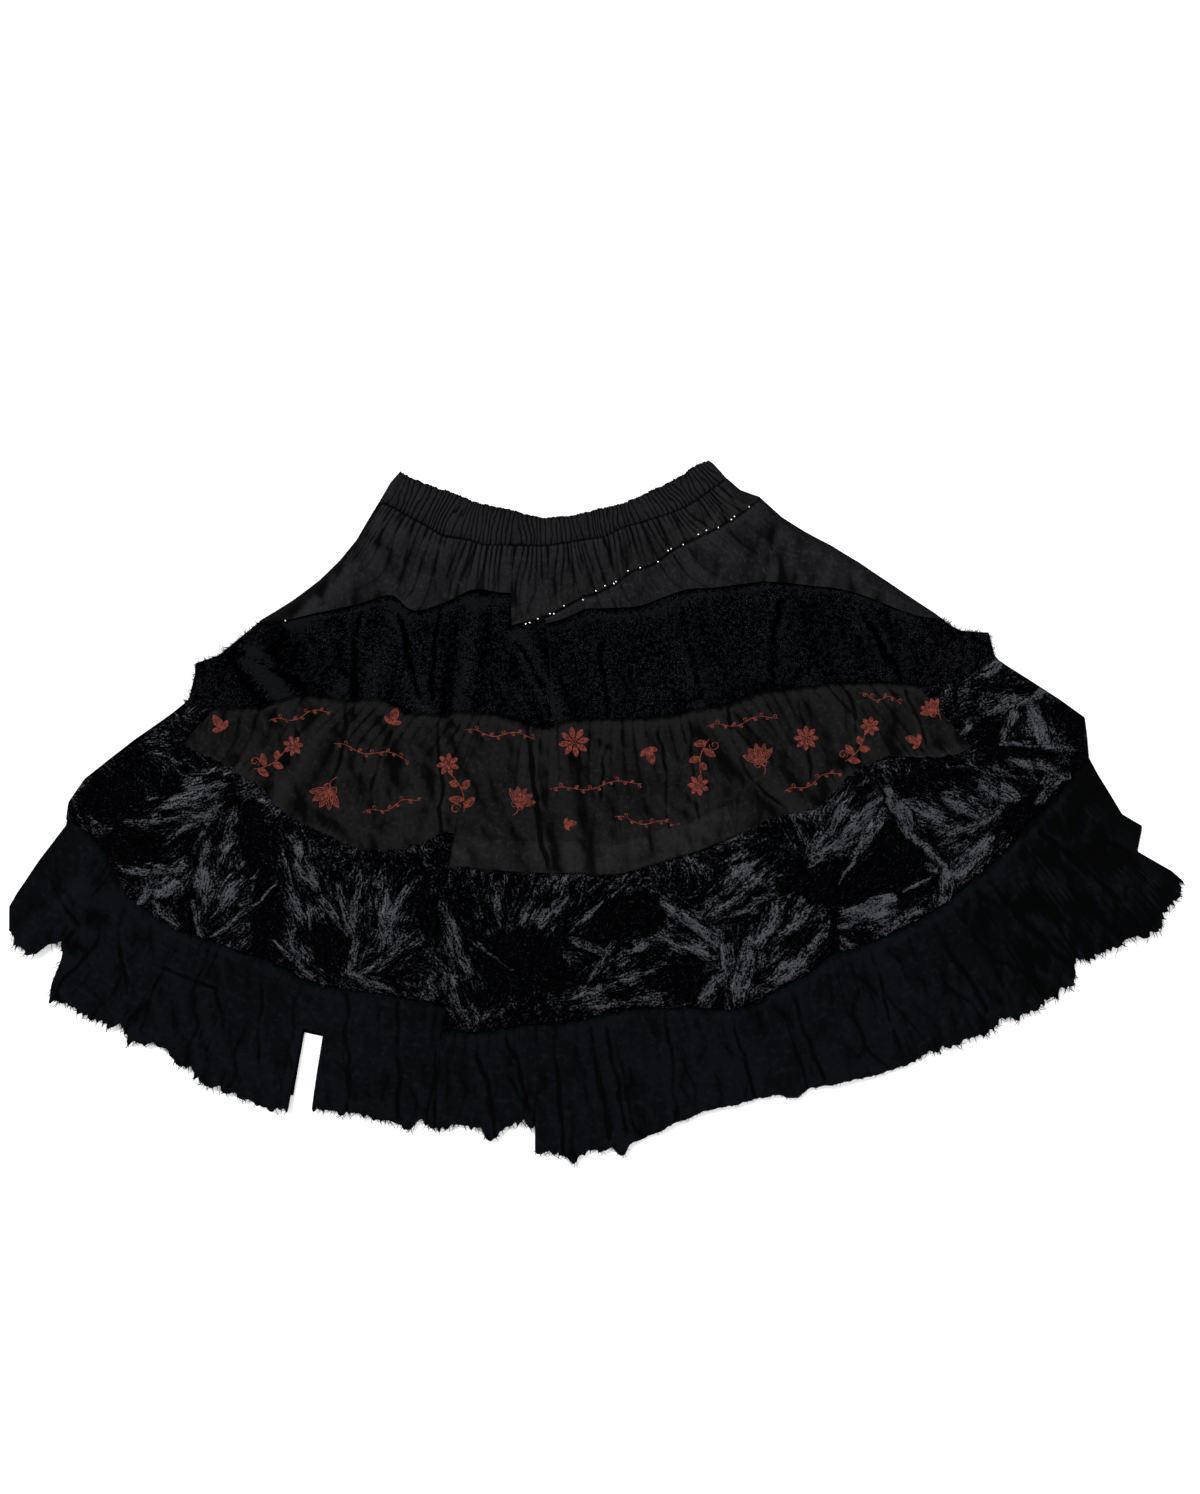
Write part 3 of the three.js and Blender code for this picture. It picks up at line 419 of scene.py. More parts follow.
def layered(x, y, octaves, seed):
    """Noise with finer and fainter noise added, from 0 to 1."""
    total = sum(noise(x * 2**k, y * 2**k, seed + k) / 2**k for k in range(octaves))
    return total / (2 - 2.0 ** (1 - octaves))


def facets(x, y, seed):
    """Flat facets with sharp creases, scattered heights joined by triangles: height and tilt."""
    ix, iy = np.floor(x), np.floor(y)
    tx, ty = x - ix, y - iy
    a, b = scatter(ix, iy, seed), scatter(ix + 1, iy, seed)
    c, d = scatter(ix, iy + 1, seed), scatter(ix + 1, iy + 1, seed)
    near = a + (b - a) * tx + (c - a) * ty
    far = d + (c - d) * (1 - tx) + (b - d) * (1 - ty)
    first = tx + ty < 1
    return np.where(first, near, far), np.where(first, b - a, d - c)


def crumpled(x, y, across, along, turn, seed):
    """Facets of one size, their lattice turned and bent so that no row shows."""
    size = 2.3 * across
    bend_x, bend_y = (layered(x / size, y / size, 2, seed + k) - 0.5 for k in (0, 5))
    turned_x, turned_y = turned(x + 0.9 * across * bend_x, y + 0.9 * across * bend_y, -turn)
    return facets(turned_x / across, turned_y / along, seed + 9)[0]


def crumples(kind, x, y):
    return sum(rise * crumpled(x, y, *size) for rise, *size in CRUMPLES[kind])


def blurred(grid, reach):
    """The mean over a square of grid cells."""
    for axis in (0, 1):
        pads = [(reach + 1, reach) if k == axis else (0, 0) for k in (0, 1)]
        total = np.cumsum(np.pad(grid, pads, mode="edge"), axis)
        size = grid.shape[axis]
        high = np.take(total, np.arange(size) + 2 * reach + 1, axis)
        grid = (high - np.take(total, np.arange(size), axis)) / (2 * reach + 1)
    return grid


def depth_of(points):
    """0 in a hollow, 1 on a crest: the height against its surroundings, at two sizes. It is the mask for
    painted shade in the hollows and painted highlight on the crests.
    """
    z = points[..., 2]
    return np.clip(0.5 + 0.5 * (z - blurred(z, 3)) / 0.9 + 0.5 * (z - blurred(z, 12)) / 3.2, 0, 1)


# Heights


def line_distance(x, y, x0, y0, x1, y1):
    """Distance from each point to a line's segment, and how far along it lies."""
    dx, dy = x1 - x0, y1 - y0
    length = np.hypot(dx, dy)
    along = ((x - x0) * dx + (y - y0) * dy) / length
    off = np.abs((x - x0) * dy - (y - y0) * dx) / length
    return off, along, length


def pixel_lines(lines):
    """Each line's two ends in millimetres, and the rest of its row."""
    for x_px, y_px, to_x_px, to_y_px, *rest in zip(*lines.values()):
        yield (*from_pixels(x_px, y_px), *from_pixels(to_x_px, to_y_px), *rest)


def fold_relief(x, y):
    """The highest of the soft ridges: a cosine across, faded at both ends."""
    best = np.zeros(x.shape)
    for angle, radius, to_angle, to_radius, width, rise in zip(*FOLDS.values()):
        place, to_place = on_plane(angle, radius), on_plane(to_angle, to_radius)
        off, along, length = line_distance(x, y, *place, *to_place)
        half = width / 2
        across = np.where(off < half, 0.5 + 0.5 * np.cos(np.pi * off / half), 0)
        ends = smooth((along + half) / half) * smooth((length + half - along) / half)
        best = np.maximum(best, rise * across * ends)
    return best


def crease_relief(x, y):
    """Narrow valleys with a faint swell beside them, wandering a little."""
    wander = 9 * (layered(x / 26, y / 26, 2, 71) - 0.5)
    uneven = 0.35 + 1.1 * noise(x / 15, y / 15, 73)
    depth_here = np.zeros(x.shape)
    for *place, width, depth in pixel_lines(CREASE_LINES):
        off, along, length = line_distance(x + wander, y, *place)
        ends = smooth((along + 6) / 12) * smooth((length + 6 - along) / 12)
        valley = np.exp(-((off / width) ** 2)) - 0.35 * np.exp(-((off / (3 * width)) ** 2))
        depth_here = depth_here - depth * valley * ends * uneven
    return depth_here


def side_fade(u):
    return smooth(u / SIDE_FADE) * smooth((1 - u) / SIDE_FADE)


def gathers(kind, u, distance):
    """Rounded crests with sharp valleys, dying out at uneven distances."""
    count, rise, reach, seed = GATHERS[kind]
    phase = u * count + 2.2 * noise(u * count * 0.3, distance / 60, seed)
    crest = np.abs(np.sin(np.pi * phase)) ** 0.75
    each = scatter(np.floor(phase), np.zeros(np.shape(phase)), seed)
    fade = np.exp(-np.maximum(distance, 0) / (reach * (0.45 + 1.1 * each)))
    return rise * crest * (0.45 + 0.55 * each) * fade


def ruffle_swell(angle, down):
    """The swell between two creases of the ruffle, none at its seam."""
    best = np.zeros(angle.shape)
    for k, rise in enumerate(CREASES["rise"][:-1]):
        start, end = (mix(CREASES["top"][i], CREASES["hem"][i], down) for i in (k, k + 1))
        t = (angle - start) / (end - start)
        inside = (t > 0) & (t < 1)
        swell = rise * np.sin(np.pi * np.clip(t, 0, 1)) ** 0.7
        best = np.where(inside, swell, best)
    return best * smooth(down * 1.6)


def not_below(height, base, depth=1.2):
    """A valley stays within the gap to the layer below."""
    return np.maximum(height, base - depth)


def cells(x, y, size, seed):
    """The nearest of the scattered points: the way to it, and the point's own number."""
    ix, iy = np.floor(x / size), np.floor(y / size)
    best = np.full(x.shape, 1e9)
    near_x, near_y, own = np.zeros(x.shape), np.zeros(x.shape), np.zeros(x.shape)
    for kx in (-1, 0, 1):
        for ky in (-1, 0, 1):
            jx, jy = ix + kx, iy + ky
            dx = x - (jx + scatter(jx, jy, seed)) * size
            dy = y - (jy + scatter(jx, jy, seed + 1)) * size
            closer = np.hypot(dx, dy) < best
            best = np.where(closer, np.hypot(dx, dy), best)
            near_x, near_y = np.where(closer, dx, near_x), np.where(closer, dy, near_y)
            own = np.where(closer, scatter(jx, jy, seed + 2), own)
    return near_x, near_y, own


def pocket_shade(x, y):
    """How much painted shade a hollow gets: 1 inside it, 0 outside, with a short and uneven edge."""
    shade = np.zeros(x.shape)
    uneven = 0.5 * (layered(x / 9, y / 9, 2, 131) - 0.5)
    for x_px, y_px, half_x, half_y in zip(*SHADED_POCKETS.values()):
        px, py = from_pixels(x_px, y_px)
        far = np.hypot((x - px) / (half_x * PIXEL_MM), (y - py) / (half_y * PIXEL_MM))
        shade = np.maximum(shade, 1 - smooth((far + uneven - 0.75) / 0.35))
    return shade


def crush(x, y):
    """Straight wrinkles that run beside the named shards, and in patches between them.

    Gives the height, the painted sheen and painted shade of the nap, and the distances along and across it.
    """
    bend_x = 9 * (layered(x / 24, y / 24, 3, 11) - 0.5)
    bend_y = 9 * (layered(x / 24, y / 24, 3, 17) - 0.5)
    wx, wy = x + bend_x, y + bend_y
    dx, dy, own = cells(x + 1.5 * bend_x, y + 1.5 * bend_y, 24, 31)
    turn = np.pi * (1.6 * noise(x / 95, y / 95, 37) + 0.55 * own)
    along = dx * np.cos(turn) + dy * np.sin(turn)
    across = dy * np.cos(turn) - dx * np.sin(turn)
    nearest, inside, which = np.full(x.shape, 16.0), np.zeros(x.shape), 7 * own
    for k, (x0, y0, x1, y1, width) in enumerate(pixel_lines(SHEEN_SHARDS)):
        length = math.hypot(x1 - x0, y1 - y0)
        ux, uy = (x1 - x0) / length, (y1 - y0) / length
        run = (wx - x0) * ux + (wy - y0) * uy
        off = (wy - y0) * ux - (wx - x0) * uy
        share = np.clip(run / length, 0, 1)
        half = width * PIXEL_MM / 2 * np.sin(np.pi * (0.12 + 0.8 * share)) ** 0.6
        past = run - share * length
        far = np.hypot(np.maximum(np.abs(off) - half, 0), 0.7 * past)
        closer = far < nearest
        nearest = np.where(closer, far, nearest)
        inside = np.maximum(inside, smooth(0.6 + (half - np.abs(off)) / 4 - 0.25 * np.abs(past)))
        along, across = np.where(closer, run + 5 * k, along), np.where(closer, off, across)
        which = np.where(closer, 1.7 * k, which)
    shade = pocket_shade(x, y)
    broad = facets(along / 22 + which, across / 5.2 + which, 41)
    fine = layered(along / 13 + which, across / 2.3, 2, 47)
    patch = layered(x / 30, y / 22, 2, 53)
    beside = np.exp(-nearest / 7)
    # painted sheen and painted shade: lighter with each facet's tilt, in the noise and beside and inside
    # the shards, darker in the pockets
    light = 0.34 * broad[1] + 0.95 * (fine - 0.44) + 0.75 * (patch - 0.42)
    light = light + 0.2 * beside + 0.4 * inside - 1.1 * shade * (1 - inside)
    height = 2.2 * broad[0] + 1.1 * fine + 2.0 * patch
    height = height * (1 - 0.6 * shade) + 2.4 * inside + 1.0 * beside
    return height, light, along, across


# The lines that the tiers end on


def line(edge, offset=0.0):
    """The radius of an edge in each column, moved outwards by the offset."""
    return lambda u: edge_radius(edge, u) + offset


def raw_edge(edge, u):
    """How frayed an edge is: the hem has a smoother stretch right of its middle."""
    if edge != "hem":
        return np.ones(np.shape(u))
    return 1 - 0.75 * smooth((u - 0.48) / 0.04) * smooth((0.76 - u) / 0.04)


def ragged(edge):
    """An edge that wanders in and out a little, as a raw edge does."""
    amount, seed = RAW_EDGES[edge]

    def radius(u):
        fine = noise(u * 460, 0 * u, seed) - 0.5
        coarse = noise(u * 130, 0 * u, seed + 1) - 0.5
        broad = noise(u * 48, 0 * u, seed + 2) - 0.5
        return edge_radius(edge, u) + amount * (1.3 * fine + coarse + 0.8 * broad) * raw_edge(edge, u)

    return radius


def lower_yoke_overlap(u):
    return np.minimum(OVERLAP, 0.5 * (edge_radius("yoke", u) - edge_radius("wrap", u)))


def fleece_cover(u):
    return np.where(u > LOWER_YOKE_START, edge_radius("yoke", u), edge_radius("wrap", u))


def fleece_top(u):
    lower = edge_radius("yoke", u) - lower_yoke_overlap(u)
    return np.where(u > LOWER_YOKE_START, lower, edge_radius("wrap", u) - OVERLAP)


def under_print(u):
    """0 beside the printed panel, 1 well inside it."""
    return smooth((u - PRINT_LEFT) / PRINT_TUCK) * smooth((PRINT_RIGHT - u) / PRINT_TUCK)


def satin_cover(u):
    return mix(edge_radius("fleece", u), edge_radius("print", u), under_print(u))


def satin_top(u):
    return satin_cover(u) - OVERLAP


def wrap_level(u):
    """Over the fleece on the left, over the lower yoke on the right."""
    past = np.clip((u - LOWER_YOKE_START) / 0.06, 0, 1)
    return np.where(u > LOWER_YOKE_START, mix(OVER_FLEECE, OVER_COTTON, past), OVER_FLEECE)


def raised(radius, cover, bottom, level):
    """Level 0 under the tier above, full where it covers the tier below."""
    end = bottom - OVERLAP
    start = mix(cover, end, 0.45)
    return level * smooth((radius - start) / np.maximum(end - start, 1))


def tucked(radius, cover, reach=14.0):
    """Wrinkles fade out where the tier above covers them."""
    return smooth((radius - cover + 3) / reach)


def yoke_wrinkles(u, radius, x, y):
    """Gathers from the waistband, with soft crumples below them."""
    distance = radius - edge_radius("band", u)
    main = gathers("fine yoke", u, distance) + gathers("broad yoke", u, distance)
    return (main + crumples("yoke", x, y) * smooth(distance / 16)) * side_fade(u)


def folded(u, x, y, wall, level):
    """The outside of a wall that lies over the back at a level, with the large folds."""
    return FRONT_BASE + wall + level + fold_relief(x, y) * side_fade(u)


def wrap_height(u, radius, x, y):
    distance = radius - edge_radius("band", u)
    level = mix(OVER_COTTON, wrap_level(u), smooth(distance / 30))
    base = folded(u, x, y, COTTON_WALL, level)
    return base + yoke_wrinkles(u, radius, x, y) * smooth((distance + 2) / 6)


def lower_yoke_height(u, radius, x, y):
    wrap, bottom = edge_radius("wrap", u), edge_radius("yoke", u)
    end = bottom - lower_yoke_overlap(u)
    level = OVER_FLEECE * smooth((radius - wrap) / np.maximum(end - wrap, 1))
    base = folded(u, x, y, COTTON_WALL, level)
    return base + 0.95 * yoke_wrinkles(u, radius, x, y) * tucked(radius, wrap, 8)


def fleece_height(u, radius, x, y):
    cover, bottom = fleece_cover(u), edge_radius("fleece", u)
    base = folded(u, x, y, FLEECE_WALL, raised(radius, cover, bottom, OVER_COTTON))
    soft = 2.8 * layered(x / 40, y / 60, 2, 21) + crumples("fleece", x, y) + crease_relief(x, y)
    pile = 0.8 * noise(x / 1.9, y / 1.9, 25) + 0.7 * noise(x / 4.2, y / 4.2, 26)
    return not_below(base + (soft * side_fade(u) + 0.8) * tucked(radius, cover) + pile, base)


def print_height(u, radius, x, y):
    cover, bottom = edge_radius("fleece", u), edge_radius("print", u)
    level = raised(radius, cover, bottom, OVER_COTTON)
    base = FRONT_BASE + COTTON_WALL + level + fold_relief(x, y)
    soft = 1.4 * layered(x / 18, y / 52, 3, 35) + crumples("print", x, y)
    wave = gathers("print", u, radius - cover) + soft + crease_relief(x, y)
    return not_below(base + wave * tucked(radius, cover), base)


def satin_shows(u, radius):
    """0 where the fleece or the print covers the satin, 1 where it lies open."""
    beside = 1 - smooth((u - PRINT_LEFT + 0.006) / 0.006) * smooth((PRINT_RIGHT + 0.006 - u) / 0.006)
    below = tucked(radius, edge_radius("print", u), 8)
    return np.maximum(below, beside * tucked(radius, edge_radius("fleece", u), 8))


def satin_height(u, radius, x, y):
    cover, bottom = satin_cover(u), edge_radius("satin", u)
    shows = satin_shows(u, radius)
    base = folded(u, x, y, COTTON_WALL, raised(radius, cover, bottom, OVER_COTTON + 0.3))
    wave = crush(x, y)[0] * mix(0.35, 1.0, side_fade(u)) + gathers("satin", u, radius - cover)
    return base + wave * shows - HIDDEN_DROP * (1 - shows)


def ruffle_height(u, radius, x, y):
    cover, bottom = edge_radius("satin", u), edge_radius("hem", u)
    down = np.clip((radius - cover) / (bottom - cover), 0, 1)
    stray = 2.6 * (layered(x / 46, y / 46, 2, 151) - 0.5)
    swell = 0.55 * ruffle_swell(angle_at(u, radius) + stray, down)
    wave = swell + gathers("ruffle", u, radius - cover) + crumples("ruffle", x, y) + crease_relief(x, y)
    base = folded(u, x, y, COTTON_WALL, 0)
    return not_below(base + wave * side_fade(u) * tucked(radius, cover), base)


def band_height(u, radius, x, y):
    """Gathers across the whole band, fullest between its two seams."""
    top, bottom = edge_radius("waist", u), edge_radius("band", u)
    t = np.clip((radius - top) / (bottom - top), 0, 1)
    phase = 74 * u + 2.2 * noise(u * 22, t * 1.2, 51) + 0.5 * noise(u * 90, t * 3, 52)
    crest = np.abs(np.sin(np.pi * phase)) ** 0.8
    fine = 0.35 * np.abs(np.sin(np.pi * 2.7 * phase + 4 * t))
    each = scatter(np.floor(phase), np.zeros(np.shape(phase)), 53)
    puff = 1.3 * np.sin(np.pi * t) ** 0.7
    rise = (2.3 * crest * (0.5 + 0.5 * each) + fine) * side_fade(u) ** 0.5
    return FRONT_BASE + BAND_WALL - 0.3 + rise * (0.65 + 0.35 * np.sin(np.pi * t)) + puff


def lifted(height, rise):
    return lambda u, radius, x, y: height(u, radius, x, y) + rise


# Meshes


def unit(vectors):
    return vectors / np.maximum(np.linalg.norm(vectors, axis=-1, keepdims=True), 1e-9)


def column_list(count, start=0.0, end=1.0, steps=()):
    """Evenly spaced columns, with a close pair at each step."""
    pairs = [s + d for s in steps for d in (-STEP_PAIR, STEP_PAIR)]
    every = np.unique(np.round(np.concatenate([np.linspace(start, end, count), pairs]), 7))
    return every[(every >= start) & (every <= end)]


def with_rims(points, drop, inset=4):
    """Each edge is carried down by drop and a few rows back under the cloth."""
    for _ in (0, 1):
        rims = []
        for grid in (points, points[::-1]):
            outer, inner = grid[:1].copy(), grid[inset : inset + 1].copy()
            outer[..., 2] -= drop
            inner[..., 2] -= drop
            rims.append((inner, outer))
        points = np.concatenate([*rims[0], points, *rims[1][::-1]]).swapaxes(0, 1)
    points[..., 2] = np.maximum(points[..., 2], LOWEST)
    return points


def padded(values):
    """Values of a grid, carried out over its rims."""
    return np.pad(values, 2, mode="edge")


def make_object(name, material, points, faces, ends=None, uv=None, values=None):
    """A mesh object from millimetre points, quads, end faces, a UV map and point values."""
    mesh = bpy.data.meshes.new(name)
    every = faces.tolist() + (ends.tolist() if ends is not None else [])
    mesh.from_pydata((points.reshape(-1, 3) * MM).tolist(), [], every)
    mesh.polygons.foreach_set("use_smooth", np.ones(len(mesh.polygons), bool))
    if uv is not None:
        layer = mesh.uv_layers.new(name="Cloth")
        layer.data.foreach_set("uv", uv.reshape(-1, 2)[faces.ravel()].astype(np.float32).ravel())
    for key, value in (values or {}).items():
        attribute = mesh.attributes.new(key, "FLOAT", "POINT")
        attribute.data.foreach_set("value", value.astype(np.float32).ravel())
    mesh.materials.append(material)
    mesh.validate()
    obj = bpy.data.objects.new(name, mesh)
    bpy.context.scene.collection.objects.link(obj)
    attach(obj, "root")
    return obj


def tube_object(name, material, rings):
    """Tubes through rings of points, with quads round each and a face at both of its ends."""
    index = np.arange(rings[..., 0].size).reshape(rings.shape[:3])
    beside = np.roll(index, -1, axis=2)
    faces = np.stack([index[:, :-1], index[:, 1:], beside[:, 1:], beside[:, :-1]], -1)
    ends = np.concatenate([index[:, 0], index[:, -1, ::-1]])
    return make_object(name, material, rings, faces.reshape(-1, 4), ends)


def cloth_object(name, points, u, radius, values, flip=False):
    """A sheet from its grid, with UV in metres along arc and radius.

    Its cells are left open at the slit, which only the ruffles reach.
    """
    arc = np.radians(angle_at(u, radius)) * ARC_RADIUS
    uv = np.stack([arc * MM, radius * MM], -1)
    slit = (u > SLIT_LEFT) & (u < SLIT_RIGHT) & (radius > SLIT_TOP)
    index = np.arange(u.size).reshape(u.shape)
    corners = [index[:-1, :-1], index[1:, :-1], index[1:, 1:], index[:-1, 1:]]
    faces = np.stack(corners if flip else corners[::-1], -1)[~slit[:-1, :-1]]
    return make_object(name, cloth_material(SHEETS[name][0]), points, faces, uv=uv, values=values)


def rows_between(columns, first, last, rows):
    """Column and radius of each place on a grid."""
    radius = mix(first[:, None], last[:, None], np.linspace(0, 1, rows)[None, :])
    return np.broadcast_to(columns[:, None], radius.shape), radius


def tier(name, top, bottom, height, start=0.0, end=1.0, steps=(), values=None):
    """One tier's surface: each column runs from its top line to its bottom line."""
    count, rows, rim = GRIDS[name]
    columns = column_list(round(count * settings()[0].detail), start, end, steps)
    u, radius = rows_between(columns, top(columns), bottom(columns), rows)
    x, y = on_plane(leaning(angle_at(u, radius), radius), radius)
    points = np.stack([x, y, height(u, radius, x, y)], -1)
    extra = {"depth": depth_of(points), **(values(points, u, radius) if values else {})}
    extra = {key: padded(value) for key, value in extra.items()}
    return cloth_object(name, with_rims(points, rim), padded(u), padded(radius), extra)


def declare(obj, with_pieces=()):
    cloth, flat, area, rests_on, replaced = SHEETS[obj.name]
    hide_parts(replaced)


def strands(starts, directions, lengths, radius, curl, seed, segments):
    """Thin threads: each a three-sided tube along a bending line, closed at both ends."""
    rng = np.random.default_rng(seed)
    t = np.linspace(0, 1, segments + 1)[None, :, None]
    bend = rng.normal(0, 1, (len(starts), 1, 3)) * np.array([1, 1, 0.35])
    lengths = lengths[:, None, None]
    path = starts[:, None, :] + directions[:, None, :] * lengths * t + bend * curl * lengths * t**2
    path[..., 2] = np.maximum(path[..., 2], radius + LOWEST)
    tangent = unit(np.gradient(path, axis=1))
    side = unit(np.cross(tangent, np.array([0.0, 0.0, 1.0])))
    up = np.cross(side, tangent)
    width = radius * (1 - 0.6 * t)
    turns = np.arange(3) * 2 * np.pi / 3
    return np.stack([path + width * (np.cos(a) * side + np.sin(a) * up) for a in turns], 2)


def beneath(height, u, radius, drop):
    """Places a little under a tier's surface, and the way down the skirt from each."""
    angle = leaning(angle_at(u, radius), radius)
    x, y = on_plane(angle, radius)
    return (x, y, height(u, radius, x, y) - drop), np.radians(angle)


def loose_threads(name, material, rng, place, heading, spread, rise, lengths, thread):
    """Threads that leave their places by a heading and a spread.

    The rise is the mean and spread of their upward share, the lengths are the shortest, the
    most added and a power, and the thread is its radius, curl, seed and segments.
    """
    away = heading + rng.normal(0, spread, len(heading))
    direction = np.stack([np.sin(away), -np.cos(away), rng.normal(*rise, len(away))], -1)
    shortest, added, power = lengths
    long = shortest + added * rng.random(len(away)) ** power
    return tube_object(name, material, strands(np.stack(place, -1), direction, long, *thread))


def balls(centres, radius, squash=0.8, around=8, down=5):
    """Small round beads: rings of a sphere, closed by a small face at each pole."""
    a = np.arange(around) * 2 * np.pi / around
    b = np.linspace(0.02, np.pi - 0.02, down + 1)[:, None]
    parts = [np.sin(b) * np.cos(a), np.sin(b) * np.sin(a), squash * np.cos(b) * np.ones(around)]
    return centres[:, None, None, :] + np.stack(parts, -1)[None] * radius


# Materials


def put(tree, socket, value):
    """Links a socket to another, or sets its value."""
    if isinstance(value, bpy.types.NodeSocket):
        tree.links.new(value, socket)
    else:
        socket.default_value = value


def node(tree, kind, inputs=None, **settings):
    """A shader node with its settings, and its inputs set or linked."""
    made = tree.nodes.new("ShaderNode" + kind)
    for key, value in settings.items():
        setattr(made, key, value)
    for key, value in (inputs or {}).items():
        put(tree, made.inputs[key], value)
    return made


def maths(tree, operation, first, second):
    return node(tree, "Math", {0: first, 1: second}, operation=operation).outputs[0]


def noise_map(tree, where, scale, detail, roughness=0.5):
    inputs = {"Vector": where, "Scale": scale, "Detail": detail, "Roughness": roughness}
    return node(tree, "TexNoise", inputs).outputs["Fac"]


def attribute(tree, name):
    return node(tree, "Attribute", attribute_name=name).outputs["Fac"]


def bumped(tree, height, strength, distance):
    inputs = {"Height": height, "Strength": strength, "Distance": distance}
    return node(tree, "Bump", inputs).outputs["Normal"]


def blend(tree, factor, first, second):
    """A colour between two colours."""
    return node(tree, "Mix", {0: factor, 6: first, 7: second}, data_type="RGBA").outputs[2]


def span(tree, value, low, high, to_low=0.0, to_high=1.0):
    """A value carried from one range to another, clamped."""
    inputs = {"Value": value, "From Min": low, "From Max": high, "To Min": to_low, "To Max": to_high}
    return node(tree, "MapRange", inputs, interpolation_type="SMOOTHSTEP").outputs["Result"]


def weave(group, given):
    """Crossed sine waves for the height, noise for the slubs."""
    inputs = {"Vector": given["Vector"], "Scale": given["Threads"], "Distortion": 1.5, "Detail": 1.0}
    waves = [
        node(group, "TexWave", inputs, wave_type="BANDS", bands_direction=way).outputs["Fac"]
        for way in ("X", "Y")
    ]
    slub = noise_map(group, given["Vector"], maths(group, "MULTIPLY", given["Threads"], 0.35), 3.0)
    uneven = maths(group, "MULTIPLY", slub, given["Unevenness"])
    return {"Height": maths(group, "ADD", maths(group, "MAXIMUM", *waves), uneven), "Shade": slub}


def mottle(group, given):
    """Broad and fine mottling, from 0 to 1."""
    return {"Shade": noise_map(group, given["Vector"], given["Size"], 6.0, 0.65)}


# Each shared shader group: what builds it, its numbers and what it gives.
SHADER_GROUPS = {
    "Thread weave": (weave, {"Threads": 900.0, "Unevenness": 0.5}, ("Height", "Shade")),
    "Washed mottle": (mottle, {"Size": 12.0}, ("Shade",)),
}


def use_group(tree, name, inputs):
    """A shared shader group in a material, built at its first use: its outputs."""
    group = bpy.data.node_groups.get(name)
    if not group:
        build, numbers, gives = SHADER_GROUPS[name]
        group = bpy.data.node_groups.new(name, "ShaderNodeTree")
        group.interface.new_socket("Vector", in_out="INPUT", socket_type="NodeSocketVector")
        for key, value in numbers.items():
            socket = group.interface.new_socket(key, in_out="INPUT", socket_type="NodeSocketFloat")
            socket.default_value = value
        for key in gives:
            group.interface.new_socket(key, in_out="OUTPUT", socket_type="NodeSocketFloat")
        enter = group.nodes.new("NodeGroupInput")
        leave = group.nodes.new("NodeGroupOutput")
        for key, socket in build(group, enter.outputs).items():
            group.links.new(socket, leave.inputs[key])
    return node(tree, "Group", inputs, node_tree=group).outputs


def mottled(tree, where, size, *ranges):
    """The washed mottle at one size, carried to a range."""
    return span(tree, use_group(tree, "Washed mottle", {"Vector": where, "Size": size})["Shade"], *ranges)


def hollowed(tree, colour, shade, crest):
    """Painted shade that darkens a colour in the hollows between folds, and painted highlight that lightens
    it on their crests.
    """
    depth = attribute(tree, "depth")
    lit = blend(tree, span(tree, depth, 0.5, 0.95, 0.0, 0.6), colour, crest)
    return blend(tree, span(tree, depth, 0.18, 0.6), shade, lit)


def rgba(colour, factor=1.0):
    return tuple(min(1.0, c * factor) for c in colour[:3]) + (1.0,)


def named_material(name, build, *details):
    """A material made once: build gives its shader's colour, roughness, specular and the rest."""
    material = bpy.data.materials.get(name)
    if material:
        return material
    material = bpy.data.materials.new(name)
    material.use_nodes = True
    tree = material.node_tree
    where = node(tree, "TexCoord").outputs["Object"]
    colour, roughness, specular, more = build(tree, where, *details)
    inputs = {"Base Color": colour, "Roughness": roughness, "Specular IOR Level": specular, **more}
    for key, value in inputs.items():
        put(tree, tree.nodes["Principled BSDF"].inputs[key], value)
    return material


def cotton(tree, where, colour, threads, strength, light, size):
    """Woven cotton: mottled colour with painted shade in its hollows and painted highlight on its crests,
    and a bump of crossed threads.
    """
    cloth = node(tree, "UVMap", uv_map="Cloth").outputs["UV"]
    woven = use_group(tree, "Thread weave", {"Vector": cloth, "Threads": threads, "Unevenness": 0.6})
    worn = mottled(tree, where, size, 0.36, 0.66)
    washed = blend(tree, worn, rgba(colour, 0.78), rgba(colour, 1.4))
    grain = mottled(tree, where, 430.0, 0.64, 0.36, 0.0, 0.5)
    ground = blend(tree, grain, washed, rgba(colour, 0.3))
    flecks = span(tree, woven["Shade"], 0.5, 0.72, 0.0, 0.75)
    flecked = blend(tree, flecks, ground, rgba(colour, light))
    # painted shade in the hollows and painted highlight on the crests, by the depth attribute
    folded = hollowed(tree, flecked, rgba(colour, 0.1), rgba(colour, 1.5))
    return folded, 0.92, 0.03, {"Normal": bumped(tree, woven["Height"], strength, 0.0006)}


def fleece(tree, where, dark, light):
    """Looped fleece: fine grey loops on a near-black ground with painted shade in its hollows and painted
    highlight on its crests, bumped by the same loops.
    """
    inputs = {"Vector": where, "Scale": 620.0, "Randomness": 1.0}
    loops = node(tree, "TexVoronoi", inputs, feature="F1").outputs["Distance"]
    fuzz = noise_map(tree, where, 590.0, 4.0, 0.75)
    spots = span(tree, loops, 0.55, 0.1)
    lit = maths(tree, "MULTIPLY", spots, span(tree, fuzz, 0.4, 0.6))
    amount = maths(tree, "MULTIPLY", lit, mottled(tree, where, 22.0, 0.3, 0.65, 0.35, 1.0))
    colour = blend(tree, amount, rgba(dark), rgba(light))
    # painted shade in the hollows and painted highlight on the crests, by the depth attribute
    folded = hollowed(tree, colour, rgba(dark, 0.3), rgba(light, 0.17))
    return folded, 0.97, 0.0, {"Normal": bumped(tree, maths(tree, "ADD", spots, fuzz), 0.85, 0.0012)}


